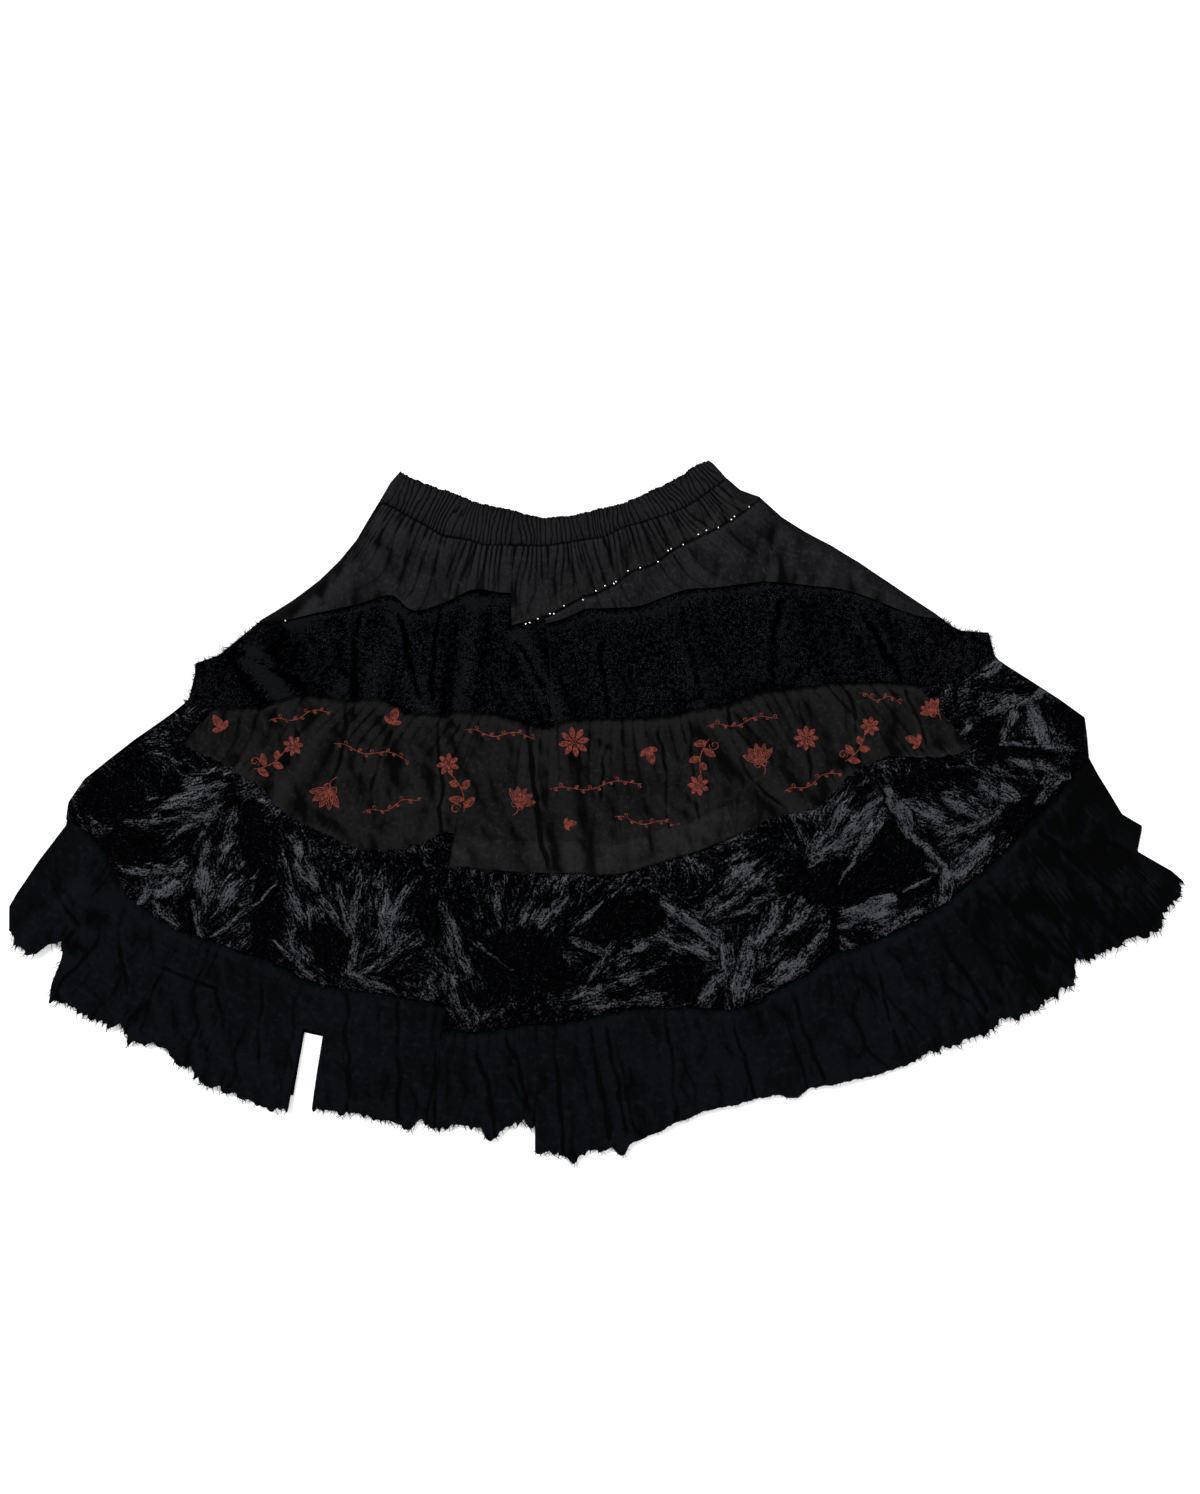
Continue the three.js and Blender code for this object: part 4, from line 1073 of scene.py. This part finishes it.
def satin(tree, where, dark, light):
    """Crushed satin: near black, with painted sheen where the nap lies to the light and painted shade in
    its hollows, streaked along it.
    """
    slow = maths(tree, "MULTIPLY", attribute(tree, "along"), 0.16)
    place = node(tree, "CombineXYZ", {"X": slow, "Y": attribute(tree, "across")}).outputs[0]
    streak = noise_map(tree, place, 0.62, 3.0, 0.7)
    salt = noise_map(tree, where, 520.0, 2.0, 0.7)
    # painted sheen and shade, broken by streaks and by specks of painted glint
    lined = maths(tree, "ADD", attribute(tree, "nap"), span(tree, streak, 0.36, 0.62, -0.4, 0.3))
    broken = maths(tree, "ADD", lined, span(tree, salt, 0.36, 0.64, -0.42, 0.3))
    amount = maths(tree, "POWER", span(tree, broken, 0.1, 1.08), 2.0)
    # the light satin colour is painted sheen over the satin's own dark colour
    colour = blend(tree, amount, rgba(dark), rgba(light))
    specular = span(tree, amount, 0.0, 1.0, 0.0, 0.12)
    return colour, 0.4, specular, {"Normal": bumped(tree, streak, 0.25, 0.0005)}


def ink(tree, where, colour):
    """Printed ink, worn in small patches to the cloth's dark ground."""
    rubbed = mottled(tree, where, 320.0, 0.4, 0.62)
    return blend(tree, rubbed, rgba(colour, 0.3), rgba(colour, 1.2)), 0.85, 0.2, {}


def plain(tree, where, colour, roughness, specular, metallic):
    """A bead, which is metal, or threads, which hardly shine: one colour with slight mottling."""
    shade = mottled(tree, where, 200.0, 0.35, 0.65)
    mixed = blend(tree, shade, rgba(colour, 0.75), rgba(colour, 1.2))
    return mixed, roughness, specular, {"Metallic": metallic}


def even(tree, where, colour):
    """The floor: one flat colour."""
    return rgba(colour), 0.9, 0.1, {}


def thread_material(name, colour):
    return named_material(name, plain, colour, 0.8, 0.02, 0.0)


# Each cloth: its slot, its material's name and shader, its colours and a cotton's threads,
# strength of weave, lightness of flecks and size of mottling.
CLOTHS = {
    "cotton": ("cotton", "Charcoal cotton", cotton, ["cotton"], (520.0, 0.35, 1.9, 14.0)),
    "tape": ("hem_tape", "Turned hem cotton", cotton, ["tape"], (520.0, 0.35, 1.6, 14.0)),
    "ground": ("printed_cotton", "Print ground cotton", cotton, ["ground"], (560.0, 0.35, 1.9, 14.0)),
    "ruffle": ("ruffle_cotton", "Ruffle cotton", cotton, ["ruffle"], (480.0, 0.5, 2.1, 9.0)),
    "fleece": ("fleece", "Looped fleece", fleece, ["fleece", "loops"], ()),
    "satin": ("crushed_satin", "Crushed satin", satin, ["satin", "shine"], ()),
}


def cloth_material(cloth):
    _, name, build, colours, looks = CLOTHS[cloth]
    return named_material(name, build, *(getattr(settings()[1], key) for key in colours), *looks)


# The printed motifs: sprigs, flowers and tendrils


def stroke_of(x, y):
    return np.stack([x, y], -1)


def curl(cx, cy, radius, start, end, grow=1.0, count=26):
    """An arc whose radius grows or shrinks evenly."""
    t = np.linspace(0, 1, count)
    turn = np.radians(mix(start, end, t))
    size = radius * mix(1.0, grow, t)
    return stroke_of(cx + size * np.cos(turn), cy + size * np.sin(turn))


def leaf(x, y, length, width, turn, lines=5):
    """A pointed leaf hatched along its length: lines that bow more towards its sides."""
    t = np.linspace(0, 1, 12)
    strokes = []
    for share in np.linspace(-1, 1, lines):
        along = length * (t if abs(share) > 0.9 else 0.06 + 0.86 * t)
        dx, dy = turned(along, share * width * np.sin(np.pi * t) ** 0.8, turn)
        strokes.append(stroke_of(x + dx, y + dy))
    return strokes


def bloom(radius, petals=8, turn=0.0, x=0.0, y=0.0):
    """Hatched petals round a ringed centre."""
    strokes = [curl(x, y, radius * share, 0, 360) for share in (0.22, 0.1)]
    for angle in turn + 360 * np.arange(petals) / petals:
        dx, dy = turned(0.26 * radius, 0.0, angle)
        strokes += leaf(x + dx, y + dy, 0.74 * radius, radius * 1.25 / petals, angle)
    return strokes


def half_bloom(size):
    """A bloom seen from its side: a fan of petals over a cup, on a short stem."""
    strokes = []
    for angle in (34, 62, 90, 118, 146):
        strokes += leaf(0.0, 0.0, size * 0.62, size * 0.1, angle, 4)
    for angle in (0, 180):
        strokes += leaf(0.0, -size * 0.04, size * 0.22, size * 0.12, angle, 3)
    t = np.linspace(0, 1, 12)
    return strokes + [stroke_of(size * 0.1 * np.sin(3 * t), -size * 0.45 * t)]


def sprig(size):
    """A bloom on a bent stem with leaves by turns and one curl."""
    t = np.linspace(0, 1, 24)
    stem = stroke_of(size * 0.12 * np.sin(3.4 * t), size * (t * 1.05 - 0.85))
    strokes = [stem] + bloom(size * 0.27, 7, 12, size * 0.02, size * 0.34)
    for share, turn, length in ((0.12, 24, 0.34), (0.3, 160, 0.36), (0.48, 32, 0.3), (0.62, 148, 0.24)):
        strokes += leaf(*stem[int(share * 23)], size * length, size * 0.075, turn)
    return strokes + [curl(-size * 0.16, -size * 0.72, size * 0.13, 0, 420, 0.3)]


def vine(length, swing=3.0):
    """A thin waving stem with small leaves and curls off it by turns."""
    t = np.linspace(0, 1, 80)
    stem = stroke_of(length * (t - 0.5), swing * np.sin(2 * np.pi * (1.6 * t + 0.1)))
    strokes = [stem]
    count = int(length / 7)
    for k in range(count):
        place = int((k + 0.6) / count * 79)
        x, y = stem[place]
        dx, dy = stem[min(place + 1, 79)] - stem[max(place - 1, 0)]
        way = math.degrees(math.atan2(dy, dx))
        side = 1 if k % 2 else -1
        if k % 4 == 1:
            off_x, off_y = turned(swing * 0.8, 0.0, way + side * 90)
            start = way - side * 90
            strokes.append(curl(x + off_x, y + off_y, swing * 0.8, start, start + side * 400, 0.25, 20))
        else:
            strokes += leaf(x, y, swing * (1.7 - 0.3 * (k % 3)), swing * 0.42, way + side * 52, 3)
    return strokes


def bud(size):
    """A closed bud with two leaves."""
    strokes = leaf(0.0, 0.0, size * 0.8, size * 0.2, 90, 6)
    for angle in (30, 150):
        strokes += leaf(0.0, -size * 0.1, size * 0.55, size * 0.11, angle)
    return strokes


# Each motif: kind, place in photograph pixels, size in mm, turn in degrees.
MOTIFS = [
    (bud, 222, 728, 20, 34), (vine, 300, 716, 66, 12), (sprig, 282, 752, 40, -58),
    (vine, 372, 752, 82, -10), (half_bloom, 330, 790, 34, 150), (bud, 392, 722, 20, -20),
    (vine, 392, 806, 62, 16), (sprig, 452, 778, 44, 20), (vine, 500, 734, 74, -4),
    (bloom, 574, 742, 16, 10), (half_bloom, 518, 804, 30, -28), (vine, 596, 786, 96, 6),
    (bud, 648, 750, 20, 200), (vine, 648, 822, 70, -6), (sprig, 702, 772, 42, 168),
    (vine, 742, 722, 76, 10), (half_bloom, 760, 762, 32, 14), (bloom, 806, 738, 13, 0),
    (vine, 812, 782, 64, 22), (sprig, 862, 736, 38, -34), (vine, 880, 698, 46, -8),
    (bud, 918, 742, 18, 70), (half_bloom, 934, 712, 24, 40), (bud, 566, 824, 14, -80),
]


def ribbon(path, width):
    """A flat ribbon along a path, as pairs of points, thinner at both ends."""
    tangent = unit(np.gradient(path, axis=0))
    normal = stroke_of(-tangent[:, 1], tangent[:, 0])
    taper = 0.45 + 0.55 * np.sin(np.pi * np.linspace(0.04, 0.96, len(path))) ** 0.5
    half = normal * (width / 2 * taper)[:, None]
    return np.stack([path + half, path - half], 1)


# Settings

# Soft far lights: the way each comes from, its height and softness in degrees, its share.
LAMPS = [
    ("Key light", 125, 52, 20, 0.9),
    ("Side light", -20, 50, 30, 0.3),
]


def colour_property(name, description, *default):
    return FloatVectorProperty(name=name, description=description, default=default, subtype="COLOR", size=3)


class SkirtColours(bpy.types.PropertyGroup):
    """Colours of the cloths, linear."""

    cotton: colour_property("Cotton", "Waistband and yoke", 0.0068, 0.0069, 0.0077)
    tape: colour_property("Turned hems", "Stitched hems of the overlapping panels", 0.0076, 0.0075, 0.0078)
    ground: colour_property("Print ground", "Cotton under the print", 0.0052, 0.0048, 0.0048)
    ink: colour_property("Print", "Rust red ink", 0.105, 0.017, 0.010)
    fleece: colour_property("Fleece ground", "Dark of the fleece", 0.0007, 0.0008, 0.0013)
    loops: colour_property("Fleece loops", "Light of the fleece loops", 0.0320, 0.0338, 0.0415)
    satin: colour_property("Satin dark", "Satin with its nap lying away", 0.0004, 0.0004, 0.0006)
    # Satin light is the painted sheen colour, mixed over the dark satin colour
    shine: colour_property("Satin light", "Satin with its nap lying to the light", 0.0310, 0.0325, 0.0410)
    ruffle: colour_property("Ruffle", "Hem ruffle cotton", 0.0013, 0.0020, 0.0031)
    bead: colour_property("Beads", "Silver beads", 0.82, 0.83, 0.85)


def level_property(name, description, default):
    return FloatProperty(name=name, description=description, default=default, min=0)


def length_property(name, description, default):
    return FloatProperty(name=name, description=description, default=default, unit="LENGTH")


class SkirtSizes(bpy.types.PropertyGroup):
    """Counts and sizes of the cloth's detail."""

    detail: level_property("Detail", "Share of each front sheet's grid columns", 1.0)
    fray_count: IntProperty(name="Fray threads", description="Loose threads along the hem", default=1700)
    fray_length: length_property("Fray length", "Longest loose thread", 0.007)
    bead_size: length_property("Bead size", "Diameter of a bead", 0.0022)
    stitch_pitch: length_property("Stitch pitch", "Distance from stitch to stitch", 0.0040)


class SkirtStage(bpy.types.PropertyGroup):
    """Floor, lights and camera."""

    floor: level_property("Floor", "Grey value of the floor", 0.95)
    key: level_property("Key light", "Strength of the soft key light", 3.3)
    fill: level_property("Fill", "Strength of the even light all round", 0.85)
    lens: level_property("Lens", "Focal length in millimetres", 50.0)


def settings():
    scene = bpy.context.scene
    return scene.skirt_sizes, scene.skirt_colours, scene.skirt_stage


# Operators


class SKIRT_OT_waistband(bpy.types.Operator):
    """The elastic waistband with its gathers"""

    bl_idname = "skirt.waistband"
    bl_label = "Waistband"

    def execute(self, context):
        declare(tier("Waistband_front", ragged("waist"), line("band", -SEAM_GAP), band_height))
        return {"FINISHED"}


class SKIRT_OT_yoke(bpy.types.Operator):
    """The gathered yoke, its lower layer and the turned hem of its wrap"""

    bl_idname = "skirt.yoke"
    bl_label = "Yoke"

    def execute(self, context):
        top, step = line("wrap", -OVERLAP), STEP_COLUMNS["wrap"]
        wrap = tier("Yoke_wrap", line("band", SEAM_GAP), line("wrap"), wrap_height, steps=[step])
        lower = tier("Yoke_lower_layer", top, line("yoke"), lower_yoke_height, LOWER_YOKE_START)
        height = lifted(wrap_height, WRAP_HEM_RISE)
        tape = tier("Yoke_wrap_hem", top, line("wrap", -0.3), height, step + PAST_STEP)
        for obj in (lower, wrap, tape):
            declare(obj)
        return {"FINISHED"}


class SKIRT_OT_fleece(bpy.types.Operator):
    """The looped fleece tier"""

    bl_idname = "skirt.fleece"
    bl_label = "Fleece tier"

    def execute(self, context):
        steps = [STEP_COLUMNS["wrap"], LOWER_YOKE_START]
        bottom = ragged("fleece")
        obj = tier("Fleece_tier", fleece_top, bottom, fleece_height, steps=steps)
        declare(obj, [self.fuzz(bottom)])
        return {"FINISHED"}

    @staticmethod
    def fuzz(bottom):
        """Short loose loops along the lower edge and in tufts at both ends."""
        rng = np.random.default_rng(5)
        edge_u = rng.random(EDGE_FUZZ)
        ends_u = np.where(rng.random(END_FUZZ) < 0.5, 0.0008, 0.9992)
        ends_radius = mix(fleece_cover(ends_u), bottom(ends_u), rng.random(END_FUZZ))
        u = np.concatenate([edge_u, ends_u])
        radius = np.concatenate([bottom(edge_u) - 1.2, ends_radius])
        place, heading = beneath(fleece_height, u, radius, 1.2)
        heading[EDGE_FUZZ:] += np.where(ends_u < 0.5, -1.3, 1.3)
        material = thread_material("Fleece fuzz", (0.0035, 0.0038, 0.0048))
        lengths, thread = (1.2, 3.2, 2), (0.45, 0.7, 6, 2)
        return loose_threads("Fleece_fuzz", material, rng, place, heading, 0.5, (0, 0.3), lengths, thread)


class SKIRT_OT_printed(bpy.types.Operator):
    """The printed tier, its turned hem and its rust red motifs"""

    bl_idname = "skirt.printed"
    bl_label = "Printed tier"

    def execute(self, context):
        start, end, step = PRINT_LEFT + 0.001, PRINT_RIGHT - 0.001, STEP_COLUMNS["print"]
        top, bottom = line("fleece", -OVERLAP), ragged("print")
        cloth = tier("Printed_tier", top, bottom, print_height, start, end, [step])
        top, edge = line("print", -PRINT_TAPE), line("print", -0.4)
        height = lifted(print_height, PRINT_HEM_RISE)
        tape = tier("Printed_tier_hem", top, edge, height, step + PAST_STEP, TAPE_END)
        declare(cloth, [self.motifs(), self.threads(bottom)])
        declare(tape)
        return {"FINISHED"}

    @staticmethod
    def threads(bottom):
        """Short pale threads that stand out of the cut lower edge."""
        rng = np.random.default_rng(9)
        u = PRINT_LEFT + 0.004 + (PRINT_RIGHT - PRINT_LEFT - 0.008) * rng.random(CUT_THREADS)
        u = u[(u < STEP_COLUMNS["print"]) | (u > TAPE_END)]
        place, heading = beneath(print_height, u, bottom(u) - 0.8, 0.4)
        material = thread_material("Pale cut threads", (0.036, 0.036, 0.038))
        name, lengths, thread = "Print_edge_threads", (0.8, 2.6, 1.6), (0.28, 0.8, 10, 3)
        return loose_threads(name, material, rng, place, heading, 0.8, (0.1, 0.2), lengths, thread)

    @staticmethod
    def motifs():
        """All strokes as ribbons that follow the cloth a little above it."""
        points, faces, start = [], [], 0
        for draw, x_px, y_px, size, turn in MOTIFS:
            cx, cy = from_pixels(x_px, y_px)
            for stroke in draw(size):
                dx, dy = turned(*stroke.T, turn)
                pair = ribbon(stroke_of(cx + dx, cy + dy), 0.8 if draw is vine else 1.15)
                x, y = pair[..., 0], pair[..., 1]
                z = print_height(*from_plane(x, y), x, y) + INK_RISE
                points.append(np.stack([x, y, z], -1).reshape(-1, 3))
                index = start + np.arange(2 * len(stroke)).reshape(-1, 2)
                faces.append(np.stack([index[:-1, 0], index[:-1, 1], index[1:, 1], index[1:, 0]], -1))
                start += 2 * len(stroke)
        material = named_material("Rust print", ink, settings()[1].ink)
        return make_object("Printed_motifs", material, np.concatenate(points), np.concatenate(faces))


class SKIRT_OT_satin(bpy.types.Operator):
    """The crushed satin tier"""

    bl_idname = "skirt.satin"
    bl_label = "Satin tier"

    def execute(self, context):
        steps = [STEP_COLUMNS["print"], STEP_COLUMNS["satin"]]
        bottom = ragged("satin")
        declare(tier("Satin_tier", satin_top, bottom, satin_height, steps=steps, values=self.values))
        return {"FINISHED"}

    @staticmethod
    def values(points, u, radius):
        """The painted sheen and painted shade of the nap, with painted highlights on the small gathers
        below the seam, and the ways along and across.
        """
        _, light, along, across = crush(points[..., 0], points[..., 1])
        down = radius - np.where(satin_shows(u, radius) > 0, np.minimum(satin_cover(u), radius), radius)
        seam = noise(u * 620, down / 7, 141) * np.exp(-np.maximum(down, 0) / 9)
        # painted highlights on the small gathers below the seam, added to the painted sheen and shade
        nap = np.clip(light + 0.55 * seam * (down > 0), 0, 1)
        return {"nap": nap, "along": along, "across": across}


class SKIRT_OT_ruffle(bpy.types.Operator):
    """The hem ruffle with its slit and frayed edge"""

    bl_idname = "skirt.ruffle"
    bl_label = "Hem ruffle"

    def execute(self, context):
        steps = [STEP_COLUMNS["satin"], STEP_COLUMNS["hem"], SLIT_LEFT, SLIT_RIGHT]
        top, bottom = line("satin", -OVERLAP), ragged("hem")
        obj = tier("Hem_ruffle", top, bottom, ruffle_height, steps=steps, values=self.values)
        declare(obj, [self.fray(bottom)])
        return {"FINISHED"}

    @staticmethod
    def values(points, u, radius):
        """Painted shade in the hollows and painted highlight on the crests at two sizes, mottled, and more
        painted shade towards the right.
        """
        x, y, z = np.moveaxis(points, -1, 0)
        mottling = layered(x / 34, y / 26, 3, 161) - 0.5
        # painted shade that grows towards the right end of the ruffle
        right = smooth((x - 330) / 160)
        fine, broad = (z - blurred(z, 2)) / 0.55, (z - blurred(z, 9)) / 4.5
        depth = 0.5 + 0.34 * fine + 0.34 * broad + 0.3 * mottling - 0.24 * right
        return {"depth": np.clip(depth, 0, 1)}

    @staticmethod
    def fray(bottom):
        """Loose threads along the raw hem, longest where it is most frayed."""
        sizes, colours, _ = settings()
        rng = np.random.default_rng(7)
        u = np.sort(rng.random(sizes.fray_count))
        u = u[(u < SLIT_LEFT) | (u > SLIT_RIGHT)]
        place, heading = beneath(ruffle_height, u, bottom(u) - 1.0, 0.8)
        material = thread_material("Frayed thread", [c * 1.6 for c in colours.ruffle])
        lengths = (0.6, sizes.fray_length / MM * raw_edge("hem", u), 1.8)
        spread, rise, thread = math.radians(28), (-0.12, 0.1), (0.5, 0.5, 8, 3)
        return loose_threads("Hem_fray", material, rng, place, heading, spread, rise, lengths, thread)


class SKIRT_OT_backs(bpy.types.Operator):
    """The plain back panels, flat on the floor"""

    bl_idname = "skirt.backs"
    bl_label = "Back panels"

    def execute(self, context):
        def arc(radius):
            return lambda u: np.full(np.shape(u), float(radius))

        def hem(u):
            return np.where(u < 0.09, 885.0, curved("hem", angle_at(u, 915)) - 14)

        panels = [
            ("Back_waistband", line("waist", 3), line("band")),
            ("Back_yoke", line("band"), arc(400)),
            ("Back_fleece", arc(400), arc(520)),
            ("Back_printed_tier", arc(520), arc(645)),
            ("Back_satin", arc(645), arc(795)),
            ("Back_ruffle", arc(795), hem),
        ]
        for name, top, bottom in panels:
            declare(self.panel(name, top, bottom))
        return {"FINISHED"}

    @staticmethod
    def panel(name, top, bottom):
        """A flat sheet that faces down, with its edges turned up."""
        columns = column_list(130, steps=[SLIT_LEFT, SLIT_RIGHT])
        u, radius = rows_between(columns, top(columns) + 0.2, bottom(columns) - 0.2, 16)
        inset = np.degrees(4 / radius) * (1 - 2 * u)
        x, y = on_plane(leaning(angle_at(u, radius) + inset, radius), radius)
        points = with_rims(np.stack([x, y, np.full(x.shape, 0.15)], -1), -1.3)
        x, y = points[..., 0], points[..., 1]
        # random values: painted sheen on the satin back, and painted shade and highlight through depth on
        # the other backs
        nap = 0.25 + 0.6 * layered(x / 20, y / 26, 3, 111)
        values = {"nap": nap, "depth": nap, "along": x, "across": y}
        return cloth_object(name, points, padded(u), padded(radius), values, flip=True)


class SKIRT_OT_trims(bpy.types.Operator):
    """The beads along the wrap's hem and the rows of stitches"""

    bl_idname = "skirt.trims"
    bl_label = "Beads and stitches"

    def execute(self, context):
        sizes, colours, _ = settings()
        for obj in (self.beads(sizes, colours), self.stitches(sizes)):
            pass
        return {"FINISHED"}

    @staticmethod
    def beads(sizes, colours):
        x, y = from_pixels(BEADS["x_px"], BEADS["y_px"])
        u, radius = from_plane(x, y)
        z = wrap_height(np.clip(u, 0, 1), radius, x, y) + BEAD_RISE
        material = named_material("Silver bead", plain, colours.bead, 0.22, 0.5, 1.0)
        return tube_object("Wrap_beads", material, balls(np.stack([x, y, z], -1), sizes.bead_size / MM / 2))

    @staticmethod
    def stitches(sizes):
        """Short threads laid end to end along each seam."""
        wrap, tape = STEP_COLUMNS["wrap"] + 0.003, STEP_COLUMNS["print"] + 0.003
        rows = [
            (line("band", -1.2), 0.004, 0.996, band_height),
            (line("wrap", 1.6 - OVERLAP), wrap, 0.99, lifted(wrap_height, WRAP_HEM_RISE)),
            (line("print", 1.6 - PRINT_TAPE), tape, TAPE_END - 0.004, lifted(print_height, PRINT_HEM_RISE)),
            (line("satin", 3.0), 0.01, 0.99, lambda u, r, x, y: satin_height(u, r - 3, x, y) - 1.2),
        ]
        rings = []
        pitch = sizes.stitch_pitch / MM
        for edge, begin, end, height in rows:
            fine = np.linspace(begin, end, 4000)
            radius = edge(fine)
            x, y = on_plane(angle_at(fine, radius), radius)
            run = np.concatenate([[0], np.cumsum(np.hypot(np.diff(x), np.diff(y)))])
            places = np.arange(pitch, run[-1] - pitch, pitch)
            sx, sy, u, r = (np.interp(places, run, part) for part in (x, y, fine, radius))
            ex, ey = (np.interp(places + pitch * 0.62, run, part) for part in (x, y))
            way = np.stack([ex - sx, ey - sy, 0 * ex], -1)
            starts = np.stack([sx, sy, height(u, r, sx, sy) + 0.15], -1)
            rings.append(strands(starts, unit(way), np.linalg.norm(way, axis=1), 0.32, 0.03, 4, 2))
        thread = thread_material("Sewing thread", (0.004, 0.004, 0.005))
        return tube_object("Stitches", thread, np.concatenate(rings))


class SKIRT_OT_stage(bpy.types.Operator):
    """The pale floor, the soft lights and the camera straight above"""

    bl_idname = "skirt.stage"
    bl_label = "Stage"

    def execute(self, context):
        stage = settings()[2]
        for build in (self.floor, self.lights, self.camera):
            build(context.scene, stage)
        context.scene.view_settings.view_transform = "Standard"
        return {"FINISHED"}

    @staticmethod
    def floor(scene, stage):
        half, z = FLOOR_HALF, -0.0004
        mesh = bpy.data.meshes.new("Floor")
        corners = [(-half, -half, z), (half, -half, z), (half, half, z), (-half, half, z)]
        mesh.from_pydata(corners, [], [(0, 1, 2, 3)])
        mesh.materials.append(named_material("Pale floor", even, (stage.floor,) * 3))
        obj = bpy.data.objects.new("Floor", mesh)
        scene.collection.objects.link(obj)

    @staticmethod
    def lights(scene, stage):
        world = bpy.data.worlds.new("Even light")
        world.use_nodes = True
        background = world.node_tree.nodes["Background"]
        background.inputs["Color"].default_value = (1, 1, 1, 1)
        background.inputs["Strength"].default_value = stage.fill
        scene.world = world
        for name, azimuth, height, softness, share in LAMPS:
            lamp = bpy.data.lights.new(name, "SUN")
            lamp.angle = math.radians(softness)
            lamp.energy = stage.key * share
            obj = bpy.data.objects.new(name, lamp)
            obj.rotation_euler = (math.radians(90 - height), 0, math.radians(azimuth + 90))
            scene.collection.objects.link(obj)

    @staticmethod
    def camera(scene, stage):
        camera = bpy.data.cameras.new("Camera")
        camera.lens = stage.lens
        camera.sensor_width = SENSOR
        camera.sensor_fit = "AUTO"
        camera.clip_end = 50
        x, y = from_pixels(PHOTO_WIDTH / 2, PHOTO_HEIGHT / 2)
        above = PHOTO_HEIGHT * PIXEL_MM * MM * stage.lens / SENSOR + 0.006
        obj = bpy.data.objects.new("Camera", camera)
        obj.location = (float(x) * MM, float(y) * MM, above)
        scene.collection.objects.link(obj)
        scene.camera = obj


PIECES = (
    SKIRT_OT_backs,
    SKIRT_OT_waistband,
    SKIRT_OT_yoke,
    SKIRT_OT_fleece,
    SKIRT_OT_printed,
    SKIRT_OT_satin,
    SKIRT_OT_ruffle,
    SKIRT_OT_trims,
    SKIRT_OT_stage,
)


class VIEW3D_PT_skirt(bpy.types.Panel):
    """Lists the skirt's operators and settings"""

    bl_label = "Skirt"
    bl_space_type = "VIEW_3D"
    bl_region_type = "UI"
    bl_category = "Skirt"

    def draw(self, context):
        for group in ("skirt_sizes", "skirt_colours", "skirt_stage"):
            box = self.layout.box()
            values = getattr(context.scene, group)
            for key in values.bl_rna.properties.keys():
                if key not in ("rna_type", "name"):
                    box.prop(values, key)
        for piece in PIECES:
            self.layout.operator(piece.bl_idname)


GROUPS = {"skirt_sizes": SkirtSizes, "skirt_colours": SkirtColours, "skirt_stage": SkirtStage}


def register():
    for item in (*GROUPS.values(), *PIECES, VIEW3D_PT_skirt):
        bpy.utils.register_class(item)
    for name, group in GROUPS.items():
        setattr(bpy.types.Scene, name, PointerProperty(type=group))


def unregister():
    for name in GROUPS:
        delattr(bpy.types.Scene, name)
    for item in reversed((*GROUPS.values(), *PIECES, VIEW3D_PT_skirt)):
        bpy.utils.unregister_class(item)


def main():
    register()
    for piece in PIECES:
        name = piece.bl_idname.split(".")[1]
        getattr(bpy.ops.skirt, name)()
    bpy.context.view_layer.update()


if __name__ == "__main__":
    main()
